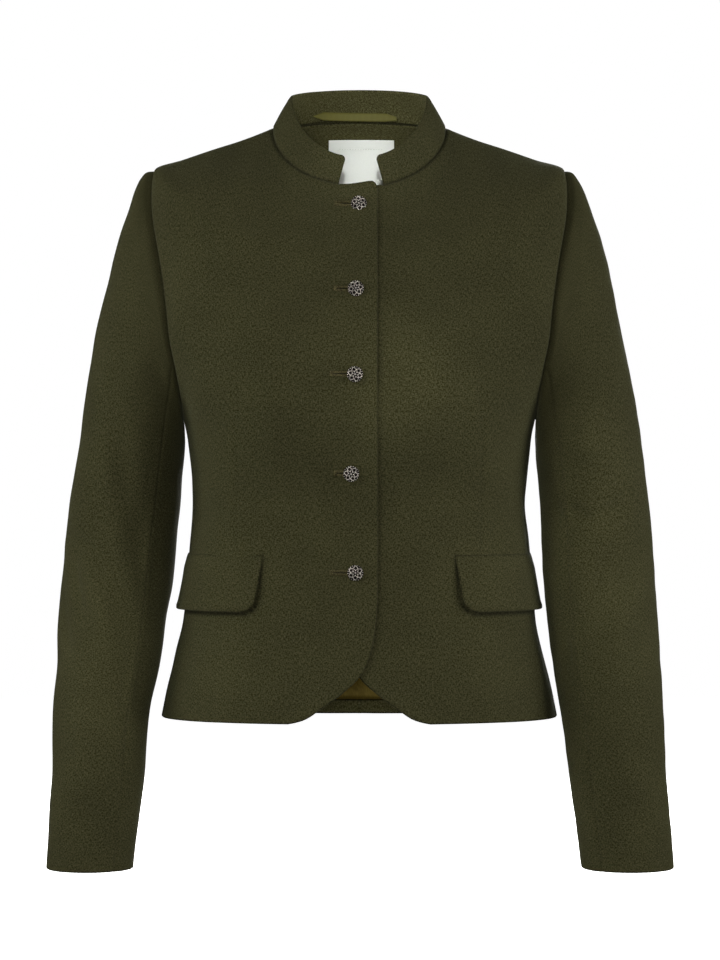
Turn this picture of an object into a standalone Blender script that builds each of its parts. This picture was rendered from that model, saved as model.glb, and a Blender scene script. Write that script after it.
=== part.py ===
# A women's short wool jacket with a stand collar, in the hollow form it has when worn.
# Metres, +Z up, the front towards -Y and the wearer's left at +X.
# The origin is the middle of the neck's base, level with the two side neck points.
#
# Panels are worked out on one side, called the own side, where +X points away from the
# centre front, and are mirrored for the wearer's right. All sizes below are in millimetres.
import math

import bmesh
import bpy
from mathutils import Vector

MM = 0.001

# Cloth and construction
CLOTH = 2.0            # wool panel
GAP = 0.3              # between two pieces at a seam
HEM_TURN = 1.2         # extra thickness of the back's turned-up hem
HEM_TURN_DOWN = 517.0  # where that hem starts, along the back
COLLAR_CLOTH = 2.6
FLAP_CLOTH = 2.6
LINING_CLOTH = 1.0
FACING_CLOTH = 1.2
RIBBON_CLOTH = 1.0

# Stations along the body, measured down its side from the side neck point
NECK = 0.0
SHOULDER_POINT = 104.0
UNDERARM = 262.0
HEM = 528.0

# Rings round the body. A ring's half width, its depth to the front and to the back, its height
# at the centre front, side and centre back, how square it is (2 is an ellipse), and the power
# by which its height changes from the side to the centre.
RING_COLUMNS = ("down", "half_width", "front", "back", "z_front", "z_side", "z_back",
                "square_front", "square_back", "tilt")
RINGS = (
    (0.0, 78.6, 72.0, 52.0, -58.0, 0.0, 14.0, 2.0, 2.0, 1.10),
    (26.0, 104.0, 80.0, 66.0, -73.0, -9.5, 0.0, 2.05, 2.05, 1.30),
    (52.0, 131.0, 88.0, 79.0, -88.0, -18.4, -17.0, 2.1, 2.1, 1.55),
    (78.0, 158.0, 95.0, 90.0, -103.0, -27.9, -36.0, 2.2, 2.15, 1.80),
    (104.0, 184.0, 101.0, 98.0, -118.0, -37.4, -56.0, 2.3, 2.2, 2.0),
    (134.0, 189.0, 107.5, 105.0, -140.0, -82.0, -86.0, 2.4, 2.3, 2.0),
    (168.0, 189.0, 114.0, 110.0, -168.0, -130.0, -126.0, 2.4, 2.35, 2.0),
    (204.0, 185.0, 120.0, 112.0, -200.0, -180.0, -174.0, 2.4, 2.35, 2.0),
    (232.0, 172.5, 122.0, 111.0, -230.0, -220.0, -218.0, 2.4, 2.35, 2.0),
    (248.0, 163.8, 121.7, 109.4, -247.0, -243.0, -242.0, 2.4, 2.35, 2.0),
    (262.0, 158.0, 120.5, 107.0, -262.0, -262.0, -262.0, 2.35, 2.35, 2.0),
    (276.0, 154.8, 118.0, 103.8, -276.0, -276.0, -276.0, 2.33, 2.33, 2.0),
    (290.0, 153.0, 115.0, 100.0, -290.0, -290.0, -290.0, 2.3, 2.3, 2.0),
    (318.0, 150.0, 109.0, 91.0, -318.0, -318.0, -318.0, 2.25, 2.3, 2.0),
    (336.0, 149.3, 106.5, 87.0, -336.0, -336.0, -336.0, 2.2, 2.3, 2.0),
    (370.0, 152.2, 104.5, 86.5, -370.0, -370.0, -370.0, 2.2, 2.3, 2.0),
    (406.0, 155.0, 105.0, 93.0, -406.0, -406.0, -406.0, 2.2, 2.3, 2.0),
    (442.0, 158.7, 107.0, 102.0, -442.0, -442.0, -443.0, 2.2, 2.3, 2.0),
    (478.0, 166.5, 110.0, 110.0, -478.0, -478.0, -480.0, 2.2, 2.3, 2.0),
    (504.0, 173.0, 112.5, 115.5, -504.0, -504.0, -508.0, 2.2, 2.3, 2.0),
    (528.0, 177.7, 115.0, 119.0, -528.0, -528.0, -534.0, 2.2, 2.3, 2.0),
)

# Rounded forms under the cloth, one for each side: where it is, its spread and how far it stands out
FORM_COLUMNS = ("x", "z", "spread_x", "spread_z", "out", "face")
FORMS = (
    (82.0, -238.0, 52.0, 68.0, 10.5, "front"),
    (78.0, -150.0, 55.0, 70.0, 6.0, "back"),
)

# The side seam's place, in degrees round from the centre front
SIDE_SEAM_COLUMNS = ("down", "turn")
SIDE_SEAM = ((262.0, 88.0), (300.0, 84.0), (345.0, 81.0), (430.0, 83.0), (528.0, 85.0))
SHOULDER_TURN = 90.0

# The armhole's half opening, in degrees, and where along it that is widest
ARMHOLE_FRONT = 18.5
ARMHOLE_BACK = 17.0
ARMHOLE_WIDEST = 0.60

# A front's edge past the centre front (negative) and its cutaway round to the hem
EDGE_COLUMNS = ("z", "x")
EDGE = (
    (-528.0, 62.0), (-526.6, 55.0), (-523.8, 46.5), (-517.3, 36.4), (-511.0, 27.6),
    (-504.8, 18.9), (-497.2, 9.8), (-489.0, 1.2), (-477.3, -5.8), (-465.6, -10.0),
    (-454.0, -12.6), (-437.0, -14.8), (-415.0, -16.0), (-64.0, -16.2), (-60.5, -14.8), (-58.0, -11.5),
)
STRAIGHT_EDGE = -16.2
OVERLAP_LIFT = 2.5       # the top front's outer face over the under front's
LIFT_FULL, LIFT_NONE = 24.0, 64.0
TOP_CORNER_RISE = 3.5    # the top front's upper edge climbs this far towards its corner

# Buttons, from the neck down: height, and distance from the centre front on the top front's own side
BUTTON_COLUMNS = ("z", "x")
BUTTONS = ((-74.3, 0.7), (-150.5, 2.9), (-224.6, 4.2), (-310.4, 6.9), (-396.8, 3.6))
BUTTON_RADIUS = 6.9
BUTTON_DOME = 5.0
BUTTON_CLEAR = 1.5       # between the top front and the back of a button
SHANK_RADIUS = 1.3
EYELET_HALF = (2.2, 1.6)  # half width and half height of the hole for the shank

# Where the mesh has its rows and columns
SHOULDER_ROWS = (0.0, 4.0, 13.0, 27.0, 43.0, 60.0, 78.0, 93.0, 104.0)
SIDE_ROWS = (262.0, 276.0, 292.0, 308.8, 328.0, 346.0, 364.0, 380.0, 398.4, 416.0, 434.0, 450.0,
             466.0, 482.0, 496.0, 507.0, 516.0, 517.0, 522.5, 526.3, 528.0)
ARMHOLE_STEPS = 11       # round each half of the armhole
FRONT_COLUMNS = 8        # between the buttonhole and the side
BACK_COLUMNS = 8

ASKEW = 1.4              # a cell's long diagonal over its short one, from which the short one counts

# Stand collar: its upper ring, and how far its ends stand from the centre front
COLLAR_TOP = (0.0, 61.0, 60.0, 44.0, -31.0, 30.0, 40.5, 2.0, 2.0, 1.05)
COLLAR_END = {"right": 18.1, "left": 21.3}
COLLAR_END_LEAN = math.radians(3.5)
COLLAR_CORNER = 5.0
COLLAR_ROWS = (1.0, 0.965, 0.9, 0.8, 0.45, 0.0)
COLLAR_CROWN = 0.8

# Sleeves. A row is one section, from the armhole to the cuff: its inner and outer edge seen from
# the front on each side, its middle from front to back, and its half depth.
SLEEVE_COLUMNS = ("row", "in_right", "in_left", "z_in", "out_right", "out_left", "z_out", "y", "deep")
SLEEVE = (
    (0, 156.5, 156.5, -262.0, 184.0, 184.0, -37.4, -1.5, 55.0),
    (1, 156.7, 157.0, -264.5, 190.0, 190.0, -38.6, -1.5, 56.0),
    (2, 156.5, 157.4, -267.5, 196.3, 196.4, -44.6, -1.5, 57.0),
    (3, 156.3, 157.8, -271.0, 201.4, 202.6, -55.0, -1.5, 57.5),
    (4, 156.2, 158.0, -275.0, 207.0, 208.6, -71.8, -1.5, 58.0),
    (5, 156.2, 158.2, -279.5, 216.7, 217.6, -100.0, -1.0, 58.5),
    (6, 156.4, 158.5, -285.0, 226.2, 226.6, -136.0, -1.0, 58.5),
    (7, 156.9, 159.0, -292.0, 234.2, 234.2, -172.0, -0.5, 58.0),
    (8, 157.6, 159.8, -301.0, 241.0, 241.4, -208.0, 0.0, 57.5),
    (9, 158.6, 160.8, -312.0, 247.0, 247.6, -244.0, 1.0, 57.0),
    (10, 159.6, 162.0, -325.0, 252.2, 252.8, -280.0, 2.0, 56.0),
    (11, 161.2, 163.2, -341.0, 257.0, 257.6, -316.0, 3.0, 54.5),
    (12, 163.6, 164.0, -360.0, 262.0, 262.0, -350.0, 4.0, 53.0),
    (13, 166.0, 164.6, -380.0, 265.6, 264.2, -377.0, 4.0, 52.0),
    (14, 168.2, 165.4, -400.0, 267.5, 265.8, -400.0, 2.5, 51.0),
    (15, 170.0, 166.5, -420.0, 269.1, 267.1, -420.0, -0.5, 50.0),
    (16, 172.2, 168.2, -440.0, 270.4, 268.1, -440.0, -4.5, 48.5),
    (17, 175.2, 170.3, -459.0, 271.2, 268.7, -459.0, -9.0, 47.3),
    (18, 178.6, 172.7, -478.0, 271.5, 269.1, -478.0, -14.0, 46.2),
    (19, 182.2, 175.4, -497.0, 271.9, 269.9, -497.0, -19.5, 45.2),
    (20, 185.6, 178.2, -516.0, 272.1, 270.8, -516.0, -24.5, 44.3),
    (21, 188.2, 181.0, -536.0, 272.5, 271.9, -536.0, -30.0, 43.2),
    (22, 189.9, 183.4, -556.0, 273.1, 272.6, -556.0, -35.0, 42.1),
    (23, 191.4, 185.6, -577.0, 273.6, 273.1, -577.0, -40.0, 41.0),
    (24, 192.9, 188.4, -598.0, 274.1, 274.1, -598.0, -45.0, 40.0),
    (25, 194.7, 191.5, -619.0, 274.7, 275.2, -619.0, -49.5, 39.0),
    (26, 197.2, 193.8, -640.0, 275.3, 276.3, -640.0, -53.5, 38.3),
    (27, 199.8, 196.2, -658.5, 276.0, 277.2, -658.5, -56.5, 38.0),
)
CAP_BLEND_ROWS = 8       # sections over which the armhole's own outline fades out
FRONT_SLEEVE_SEAM = 3    # columns of the two sleeve seams, counted forward from the underarm
BACK_SLEEVE_SEAM = 17
# The top sleeve is one cut piece, kept as one solid for each stretch between these sections
TOP_STRETCHES = (("head", 0, 6), ("upper", 6, 11), ("elbow", 11, 18), ("fore", 18, 27))

# Soft folds pressed into the sleeves: the two ends of a trough as (section, degrees round from
# the inner side towards the front), its half width and its depth
FOLD_COLUMNS = ("row_a", "turn_a", "row_b", "turn_b", "half_width", "depth")
SLEEVE_FOLDS = {
    "right": ((11.5, 120.0, 17.5, 62.0, 13.0, 3.2), (13.5, 170.0, 18.5, 128.0, 10.0, 2.4)),
    "left": ((17.0, 62.0, 12.5, 140.0, 14.0, 3.4), (14.0, 60.0, 11.5, 120.0, 9.0, 2.0)),
}

# Pocket flaps
FLAP_TOP, FLAP_BOTTOM = 381.5, 432.0
FLAP_START = 83.5        # its front corner from the centre front
FLAP_LENGTH = 135.0
FLAP_SLANT = 6.5
FLAP_CORNER = 12.0
FLAP_FLARE = (1.2, 6.0)  # how far the lower edge stands off at the front end and round the side
FLAP_ROWS = (0.0, 0.14, 0.4, 0.66, 0.8, 0.9, 0.97, 1.0)
FLAP_COLUMNS = 12

# Inside the neck and the hem
FACING_ROWS = (3.0, 118.0)      # first and last station down the back
LABEL = {"x": 2.0, "half_width": 31.0, "rows": (2.0, 7.0)}
SIZE_TAG = {"x": 20.5, "half_width": 6.0, "rows": (5.0, 6.6)}
LOOP = {"x_right": -42.0, "x_left": 34.5, "z": 15.3, "height": 7.6, "behind": 6.0, "bow": 0.5}
LINING_ROWS = (430.0, 516.5)

COLOURS = {
    "loden": ((0.044, 0.042, 0.020), 0.95, 0.0),
    "satin": ((0.16, 0.15, 0.04), 0.45, 0.0),
    "lining": ((0.13, 0.08, 0.018), 0.5, 0.0),
    "label": ((0.76, 0.80, 0.72), 0.7, 0.0),
    "silver": ((0.45, 0.44, 0.42), 0.35, 1.0),
}


# ---------- curves through the tables ----------

def smooth_curve(xs, ys):
    # A monotone cubic through the points, held flat beyond both ends.
    steps = [b - a for a, b in zip(xs, xs[1:])]
    slopes = [(d - c) / h for c, d, h in zip(ys, ys[1:], steps)]
    tangents = [slopes[0]]
    for before, after, h0, h1 in zip(slopes, slopes[1:], steps, steps[1:]):
        if before * after <= 0:
            tangents.append(0.0)
        else:
            w0, w1 = 2 * h1 + h0, h1 + 2 * h0
            tangents.append((w0 + w1) / (w0 / before + w1 / after))
    tangents.append(slopes[-1])

    def value(x):
        if x <= xs[0]:
            return ys[0]
        if x >= xs[-1]:
            return ys[-1]
        i = max(k for k in range(len(steps)) if xs[k] <= x)
        t = (x - xs[i]) / steps[i]
        rise, fall = t * t * (3 - 2 * t), t * (1 - t) ** 2
        return (ys[i] * (1 - rise) + ys[i + 1] * rise
                + steps[i] * (tangents[i] * fall - tangents[i + 1] * t * t * (1 - t)))
    return value


class Table:
    # Named columns, each a smooth curve of the first one.
    def __init__(self, columns, rows):
        rows = sorted(rows)
        keys = [row[0] for row in rows]
        self.curves = {name: smooth_curve(keys, [row[i] for row in rows])
                       for i, name in enumerate(columns) if i}
        self.known = {}

    def at(self, key):
        if key not in self.known:
            self.known[key] = {name: curve(key) for name, curve in self.curves.items()}
        return self.known[key]


BODY = Table(RING_COLUMNS, RINGS)
SEAM = Table(SIDE_SEAM_COLUMNS, SIDE_SEAM)
FRONT_EDGE = Table(EDGE_COLUMNS, EDGE)
BUTTON_LINE = Table(BUTTON_COLUMNS, BUTTONS)
ARM = Table(SLEEVE_COLUMNS, SLEEVE)


def smoothstep(low, high, x):
    t = min(max((x - low) / (high - low), 0.0), 1.0)
    return t * t * (3 - 2 * t)


def round_off(depth, radius):
    # How far a rounded corner has cut in, at a depth into the corner's radius.
    inside = min(max(depth / radius, 0.0), 1.0)
    return radius * (1 - math.sqrt(1 - inside * inside))


# ---------- the body's surface ----------

def ring_point(ring, turn):
    side, ahead = math.sin(turn), math.cos(turn)
    face = "front" if ahead > 0 else "back"
    depth, square = ring[face], ring["square_" + face]
    reach = (abs(side / ring["half_width"]) ** square + abs(ahead / depth) ** square) ** (-1 / square)
    share = abs(reach * ahead) / depth
    z = ring["z_side"] + (ring["z_" + face] - ring["z_side"]) * share ** ring["tilt"]
    x, y = reach * side, -reach * ahead
    for row in FORMS:
        form = dict(zip(FORM_COLUMNS, row))
        if form["face"] == face:
            dx, dz = (abs(x) - form["x"]) / form["spread_x"], (z - form["z"]) / form["spread_z"]
            out = form["out"] * math.exp(-dx * dx - dz * dz) * smoothstep(0.0, 0.5, share)
            y += -out if face == "front" else out
    return Vector((x, y, z))


def body_point(down, turn):
    return ring_point(BODY.at(down), turn)


def body_frame(down, turn):
    # A point of the body's surface and its outward normal.
    along = body_point(min(down + 0.5, HEM), turn) - body_point(max(down - 0.5, NECK), turn)
    around = body_point(down, turn + 0.004) - body_point(down, turn - 0.004)
    return body_point(down, turn), along.cross(around).normalized()


def turn_at_x(down, x):
    low, high = math.radians(-50.0), math.radians(89.0)
    for _ in range(40):
        middle = (low + high) / 2
        if body_point(down, middle).x < x:
            low = middle
        else:
            high = middle
    return (low + high) / 2


def down_at_front(z):
    low, high = NECK, HEM
    for _ in range(40):
        middle = (low + high) / 2
        if BODY.at(middle)["z_front"] > z:
            low = middle
        else:
            high = middle
    return (low + high) / 2


# ---------- seams ----------
# A seam is a row of points that both its pieces use: how far down it is, the point, the body's
# normal there, and the direction across the seam from the front (or body) to its neighbour.

def armhole_turn(down, face):
    share = (down - SHOULDER_POINT) / (UNDERARM - SHOULDER_POINT)
    middle = SHOULDER_TURN + (SEAM.at(UNDERARM)["turn"] - SHOULDER_TURN) * share
    if share < ARMHOLE_WIDEST:
        opening = (1 - (1 - share / ARMHOLE_WIDEST) ** 2) ** 0.95
    else:
        opening = max(1 - ((share - ARMHOLE_WIDEST) / (1 - ARMHOLE_WIDEST)) ** 2.4, 0.0) ** 0.5
    return math.radians(middle - ARMHOLE_FRONT * opening if face == "front" else middle + ARMHOLE_BACK * opening)


def armhole_rows(face):
    # Stations down one edge of the armhole that divide its length evenly.
    fine = 400
    downs = [SHOULDER_POINT + (UNDERARM - SHOULDER_POINT) * (1 - math.cos(math.pi * k / fine)) / 2
             for k in range(fine + 1)]
    points = [body_point(down, armhole_turn(down, face)) for down in downs]
    run = [0.0]
    for a, b in zip(points, points[1:]):
        run.append(run[-1] + (b - a).length)
    rows = []
    for step in range(ARMHOLE_STEPS + 1):
        target = run[-1] * step / ARMHOLE_STEPS
        k = min(max(i for i in range(fine) if run[i] <= target + 1e-9), fine - 1)
        rows.append(downs[k] + (downs[k + 1] - downs[k]) * (target - run[k]) / (run[k + 1] - run[k]))
    return rows


def seam_line(samples):
    # From (down, turn) samples, with "across" in the surface towards a larger turn.
    frames = [body_frame(down, turn) for down, turn in samples]
    seam = []
    for i, ((down, turn), (point, normal)) in enumerate(zip(samples, frames)):
        ahead, behind = frames[min(i + 1, len(frames) - 1)][0], frames[max(i - 1, 0)][0]
        across = (ahead - behind).cross(normal).normalized()
        around = body_point(down, turn + 0.01) - point
        if across.dot(around) < 0:
            across = -across
        seam.append({"down": down, "point": point, "normal": normal, "across": across})
    return seam


def seam_at(seam, down):
    # A point of the seam's polyline, so that rows between its points lie on its chords.
    for a, b in zip(seam, seam[1:]):
        if a["down"] - 1e-9 <= down <= b["down"] + 1e-9:
            t = (down - a["down"]) / (b["down"] - a["down"])
            return {"down": down, "point": a["point"].lerp(b["point"], t),
                    "normal": a["normal"].lerp(b["normal"], t).normalized(),
                    "across": a["across"].lerp(b["across"], t).normalized()}
    raise ValueError("a row lies off its seam")


def merged_rows(*groups):
    rows = []
    for row in sorted(value for group in groups for value in group):
        if not rows or row - rows[-1] > 0.05:
            rows.append(row)
    return rows


# ---------- meshes ----------

def grid_normals(grid, closed=False):
    # Outward normals of a grid whose rows run down and whose columns run round by increasing turn.
    rows, columns = len(grid), len(grid[0])
    normals = []
    for i in range(rows):
        line = []
        for j in range(columns):
            right = (j + 1) % columns if closed else min(j + 1, columns - 1)
            left = (j - 1) % columns if closed else max(j - 1, 0)
            along = grid[min(i + 1, rows - 1)][j] - grid[max(i - 1, 0)][j]
            line.append(along.cross(grid[i][right] - grid[i][left]).normalized())
        normals.append(line)
    return normals


def keep_side(point, base, across, sign):
    # Moves a point so that it lies at least half a seam gap to one side of the seam's plane.
    distance = (point - base).dot(across) * sign
    return point + across * sign * max(GAP / 2 - distance, 0.0)


def inner_grid(outer, normals, thickness):
    return [[point - normal * thickness for point, normal in zip(line, normal_line)]
            for line, normal_line in zip(outer, normals)]


def material(kind, name):
    colour, roughness, metallic = COLOURS[kind]
    made = bpy.data.materials.new(name + "_" + kind)
    made.use_nodes = True
    shader = made.node_tree.nodes["Principled BSDF"]
    shader.inputs["Base Color"].default_value = (*colour, 1.0)
    shader.inputs["Roughness"].default_value = roughness
    shader.inputs["Metallic"].default_value = metallic
    return made


def place_mesh(name, kind, points, faces, mirrored):
    side = -1.0 if mirrored else 1.0
    mesh = bpy.data.meshes.new(name)
    mesh.from_pydata([(p.x * MM * side, p.y * MM, p.z * MM) for p in points], [],
                     [face[::-1] if mirrored else face for face in faces])
    mesh.materials.append(material(kind, name))
    mesh.validate()
    mesh.shade_smooth()
    mesh.set_sharp_from_angle(angle=math.radians(50.0))
    made = bpy.data.objects.new(name, mesh)
    bpy.context.scene.collection.objects.link(made)
    return made


def shell(name, kind, outer, inner, mirrored=False, holes=()):
    # A cloth wall between two grids, closed along its edges and round any hole. Each four-sided
    # cell is halved along the diagonal that its mirror image has, so that layers lie parallel,
    # but a cell that is much askew is halved along its short one.
    rows, columns = len(outer), len(outer[0])
    count = rows * columns
    faces, edges = [], set()
    for i in range(rows - 1):
        for j in range(columns - 1):
            if (i, j) in holes:
                continue
            a, b = i * columns + j, (i + 1) * columns + j
            quad = (a, b, b + 1, a + 1)
            falling = (outer[i + 1][j + 1] - outer[i][j]).length
            rising = (outer[i][j + 1] - outer[i + 1][j]).length
            if max(falling, rising) < ASKEW * min(falling, rising):
                along_falling = outer[i][j].x + outer[i + 1][j + 1].x >= 0
            else:
                along_falling = falling < rising
            if along_falling:
                halves = ((a, b, b + 1), (a, b + 1, a + 1))
            else:
                halves = ((a, b, a + 1), (b, b + 1, a + 1))
            for half in halves:
                faces.append(half)
                faces.append(tuple(v + count for v in half[::-1]))
            edges.update(zip(quad, quad[1:] + quad[:1]))
    for a, b in edges:
        if (b, a) not in edges:
            faces.append((b, a, a + count, b + count))
    points = [p for line in outer for p in line] + [p for line in inner for p in line]
    return place_mesh(name, kind, points, faces, mirrored)


# ---------- panels of the body ----------
# A raw panel is its rows, and a grid of surface points with their normals. Its edges are drawn
# back from its seams when it is made into a wall.

SIDE = seam_line([(down, math.radians(SEAM.at(down)["turn"])) for down in SIDE_ROWS])
SHOULDER = seam_line([(down, math.radians(SHOULDER_TURN)) for down in SHOULDER_ROWS])
ARMHOLE = {face: seam_line([(down, armhole_turn(down, face)) for down in armhole_rows(face)])
           for face in ("front", "back")}


def edge_of(down, face):
    # The seam that bounds a body panel's row, and the row's last turn.
    if down <= SHOULDER_POINT:
        return seam_at(SHOULDER, down), math.radians(SHOULDER_TURN)
    if down < UNDERARM:
        return seam_at(ARMHOLE[face], down), armhole_turn(down, face)
    return seam_at(SIDE, down), math.radians(SEAM.at(down)["turn"])


def panel_rows(face, extra=()):
    return merged_rows(SHOULDER_ROWS, [entry["down"] for entry in ARMHOLE[face]], SIDE_ROWS, extra)


def shank_rows():
    return [(down_at_front(z + EYELET_HALF[1]), down_at_front(z - EYELET_HALF[1])) for z, _ in BUTTONS]


def front_grid(side):
    # The wearer's right front lies on top of the left one.
    top = side == "right"
    rows = panel_rows("front", [down for pair in shank_rows() for down in pair] if top else ())
    points, normals = [], []
    for down in rows:
        z_front = BODY.at(down)["z_front"]
        edge, button = FRONT_EDGE.at(z_front)["x"], BUTTON_LINE.at(z_front)["x"]
        cutaway = max(edge - STRAIGHT_EDGE, 0.0) if z_front < -200.0 else 0.0
        near = [edge] + [x + cutaway for x in (STRAIGHT_EDGE + 6.0, button - EYELET_HALF[0],
                         button + EYELET_HALF[0], COLLAR_END[side], COLLAR_END[side] + 6.5)]
        turns = [turn_at_x(down, x) for x in near]
        end, last = edge_of(down, "front")
        first = turns[-1]
        turns += [first + (last - first) * k / FRONT_COLUMNS for k in range(1, FRONT_COLUMNS)]
        line, normal_line = [], []
        for turn in turns:
            point, normal = body_frame(down, turn)
            if top:
                point = point + normal * OVERLAP_LIFT * (1 - smoothstep(LIFT_FULL, LIFT_NONE, point.x))
                climb = (1 - smoothstep(-8.0, COLLAR_END[side], point.x)) * (1 - smoothstep(NECK, 14.0, down))
                point.z += TOP_CORNER_RISE * climb
            line.append(point)
            normal_line.append(normal)
        points.append(line + [end["point"]])
        normals.append(normal_line + [end["normal"]])
    return {"rows": rows, "points": points, "normals": normals}


def back_grid():
    rows = panel_rows("back")
    points, normals = [], []
    for down in rows:
        end, first = edge_of(down, "back")
        turns = [first + (math.pi - first) * k / BACK_COLUMNS for k in range(1, BACK_COLUMNS + 1)]
        frames = [body_frame(down, turn) for turn in turns]
        points.append([end["point"]] + [point for point, _ in frames])
        normals.append([end["normal"]] + [normal for _, normal in frames])
    return {"rows": rows, "points": points, "normals": normals}


SHANK_COLUMN = 2       # the front's column where the holes for the shanks start
COLLAR_FIRST = 4       # and the one where the collar ends
FRONTS = {side: front_grid(side) for side in ("right", "left")}
BACK = back_grid()


# ---------- sleeves ----------

def armhole_loop():
    # Round the armhole from the underarm up the front to the shoulder point and down the back.
    return ARMHOLE["front"][::-1] + ARMHOLE["back"][1:-1]


def sleeve_turns(loop):
    # The angle round the sleeve of each armhole point, 0 at the underarm and 180 at the top.
    low, axis = loop[0], loop[ARMHOLE_STEPS] - loop[0]
    turns = []
    for j, point in enumerate(loop):
        share = min(max((point - low).dot(axis) / axis.length_squared, 0.0), 1.0)
        turn = math.acos(1 - 2 * share)
        turns.append(turn if j <= ARMHOLE_STEPS else 2 * math.pi - turn)
    return turns


def sleeve_section(side, row, turn):
    ring = ARM.at(row)
    share = (1 - math.cos(turn)) / 2
    inner, outer = ring["in_" + side], ring["out_" + side]
    return Vector((inner + (outer - inner) * share,
                   ring["y"] - ring["deep"] * math.sin(turn),
                   ring["z_in"] + (ring["z_out"] - ring["z_in"]) * share))


def fold_depth(side, row, turn):
    # How deep the sleeve's folds are here. A section counts as 19 mm and a degree as 0.85 mm.
    here = Vector((row * 19.0, math.degrees(turn) * 0.85))
    depth = 0.0
    for values in SLEEVE_FOLDS[side]:
        fold = dict(zip(FOLD_COLUMNS, values))
        a = Vector((fold["row_a"] * 19.0, fold["turn_a"] * 0.85))
        b = Vector((fold["row_b"] * 19.0, fold["turn_b"] * 0.85))
        t = min(max((here - a).dot(b - a) / (b - a).length_squared, 0.0), 1.0)
        distance = (here - a.lerp(b, t)).length / fold["half_width"]
        depth += fold["depth"] * math.exp(-distance * distance) * (0.35 + 0.65 * math.sin(math.pi * t))
    return depth


def sleeve_grid(side):
    loop = [entry["point"] for entry in armhole_loop()]
    turns = sleeve_turns(loop)
    offsets = [point - sleeve_section(side, 0, turn) for point, turn in zip(loop, turns)]
    grid = []
    for row in range(len(SLEEVE)):
        fade = 1 - smoothstep(0, CAP_BLEND_ROWS, row)
        grid.append([sleeve_section(side, row, turn) + offset * fade for turn, offset in zip(turns, offsets)])
    smooth = grid_normals(grid, closed=True)
    return [[point - normal * fold_depth(side, row, turn)
             for point, normal, turn in zip(line, normal_line, turns)]
            for row, (line, normal_line) in enumerate(zip(grid, smooth))]


def armhole_across():
    # Across the armhole runs midway between the ways the body and the sleeve lead away from it.
    grid = sleeve_grid("left")
    loop, seam = grid[0], armhole_loop()
    centre = sum(loop, Vector()) / len(loop)
    for j, entry in enumerate(seam):
        along = (loop[(j + 1) % len(loop)] - loop[j - 1]).normalized()
        into_hole = along.cross(entry["normal"]).normalized()
        if into_hole.dot(centre - entry["point"]) < 0:
            into_hole = -into_hole
        down_sleeve = grid[1][j] - loop[j]
        down_sleeve = (down_sleeve - along * down_sleeve.dot(along)).normalized()
        entry["across"] = (into_hole + down_sleeve).normalized()
    for k in (0, ARMHOLE_STEPS):
        ARMHOLE["back"][k]["across"] = ARMHOLE["front"][k]["across"]


def sleeve(side):
    grid = sleeve_grid(side)
    normals = grid_normals(grid, closed=True)
    armhole = armhole_loop()
    count, cuff = len(grid[0]), len(grid) - 1
    pieces = [("under", range(BACK_SLEEVE_SEAM, count + FRONT_SLEEVE_SEAM + 1), 0, cuff)]
    for stretch, first, last in TOP_STRETCHES:
        pieces.append(("top_" + stretch, range(FRONT_SLEEVE_SEAM, BACK_SLEEVE_SEAM + 1), first, last))

    for piece, reach, first, last in pieces:
        columns = [j % count for j in reach]
        rows = range(first, last + 1)
        seams = {(i, place): [] for i in range(len(rows)) for place in range(len(columns))}
        for i, row in enumerate(rows):
            for place, sign in ((0, 1), (len(columns) - 1, -1)):
                j = columns[place]
                around = (grid[row][(j + 1) % count] - grid[row][j - 1]).normalized()
                seams[i, place].append((grid[row][j], around, sign))
        for place, j in enumerate(columns):
            if first == 0:
                seams[0, place].append((armhole[j]["point"], armhole[j]["across"], 1))
            else:
                seams[0, place].append((grid[first][j], down_sleeve(grid, normals, first, j), 1))
            if last < cuff:
                seams[last - first, place].append((grid[last][j], down_sleeve(grid, normals, last, j), -1))
        wall("sleeve_" + side + "_" + piece, "loden", [[grid[row][j] for j in columns] for row in rows],
             [[normals[row][j] for j in columns] for row in rows], CLOTH, seams, side == "right")


def down_sleeve(grid, normals, row, j):
    # In the sleeve's surface, square to the section and towards the cuff.
    across = (grid[row][j + 1] - grid[row][j - 1]).cross(normals[row][j]).normalized()
    return across if across.dot(grid[row + 1][j] - grid[row - 1][j]) > 0 else -across


# ---------- walls ----------

def wall(name, kind, points, normals, thickness, seams, mirrored=False, holes=()):
    # Draws the edges back from their seams, lays the inner face behind the outer, and closes them.
    outer, inner = [], []
    for i, (line, normal_line) in enumerate(zip(points, normals)):
        outer_line, inner_line = [], []
        for j, (point, normal) in enumerate(zip(line, normal_line)):
            here = seams.get((i, j), ())
            for _, across, sign in here:
                point = point + across * sign * GAP / 2
            behind = point - normal * (thickness(i) if callable(thickness) else thickness)
            for base, across, sign in here:
                behind = keep_side(behind, base, across, sign)
            outer_line.append(point)
            inner_line.append(behind)
        outer.append(outer_line)
        inner.append(inner_line)
    shell(name, kind, outer, inner, mirrored, holes)
    return inner


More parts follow.
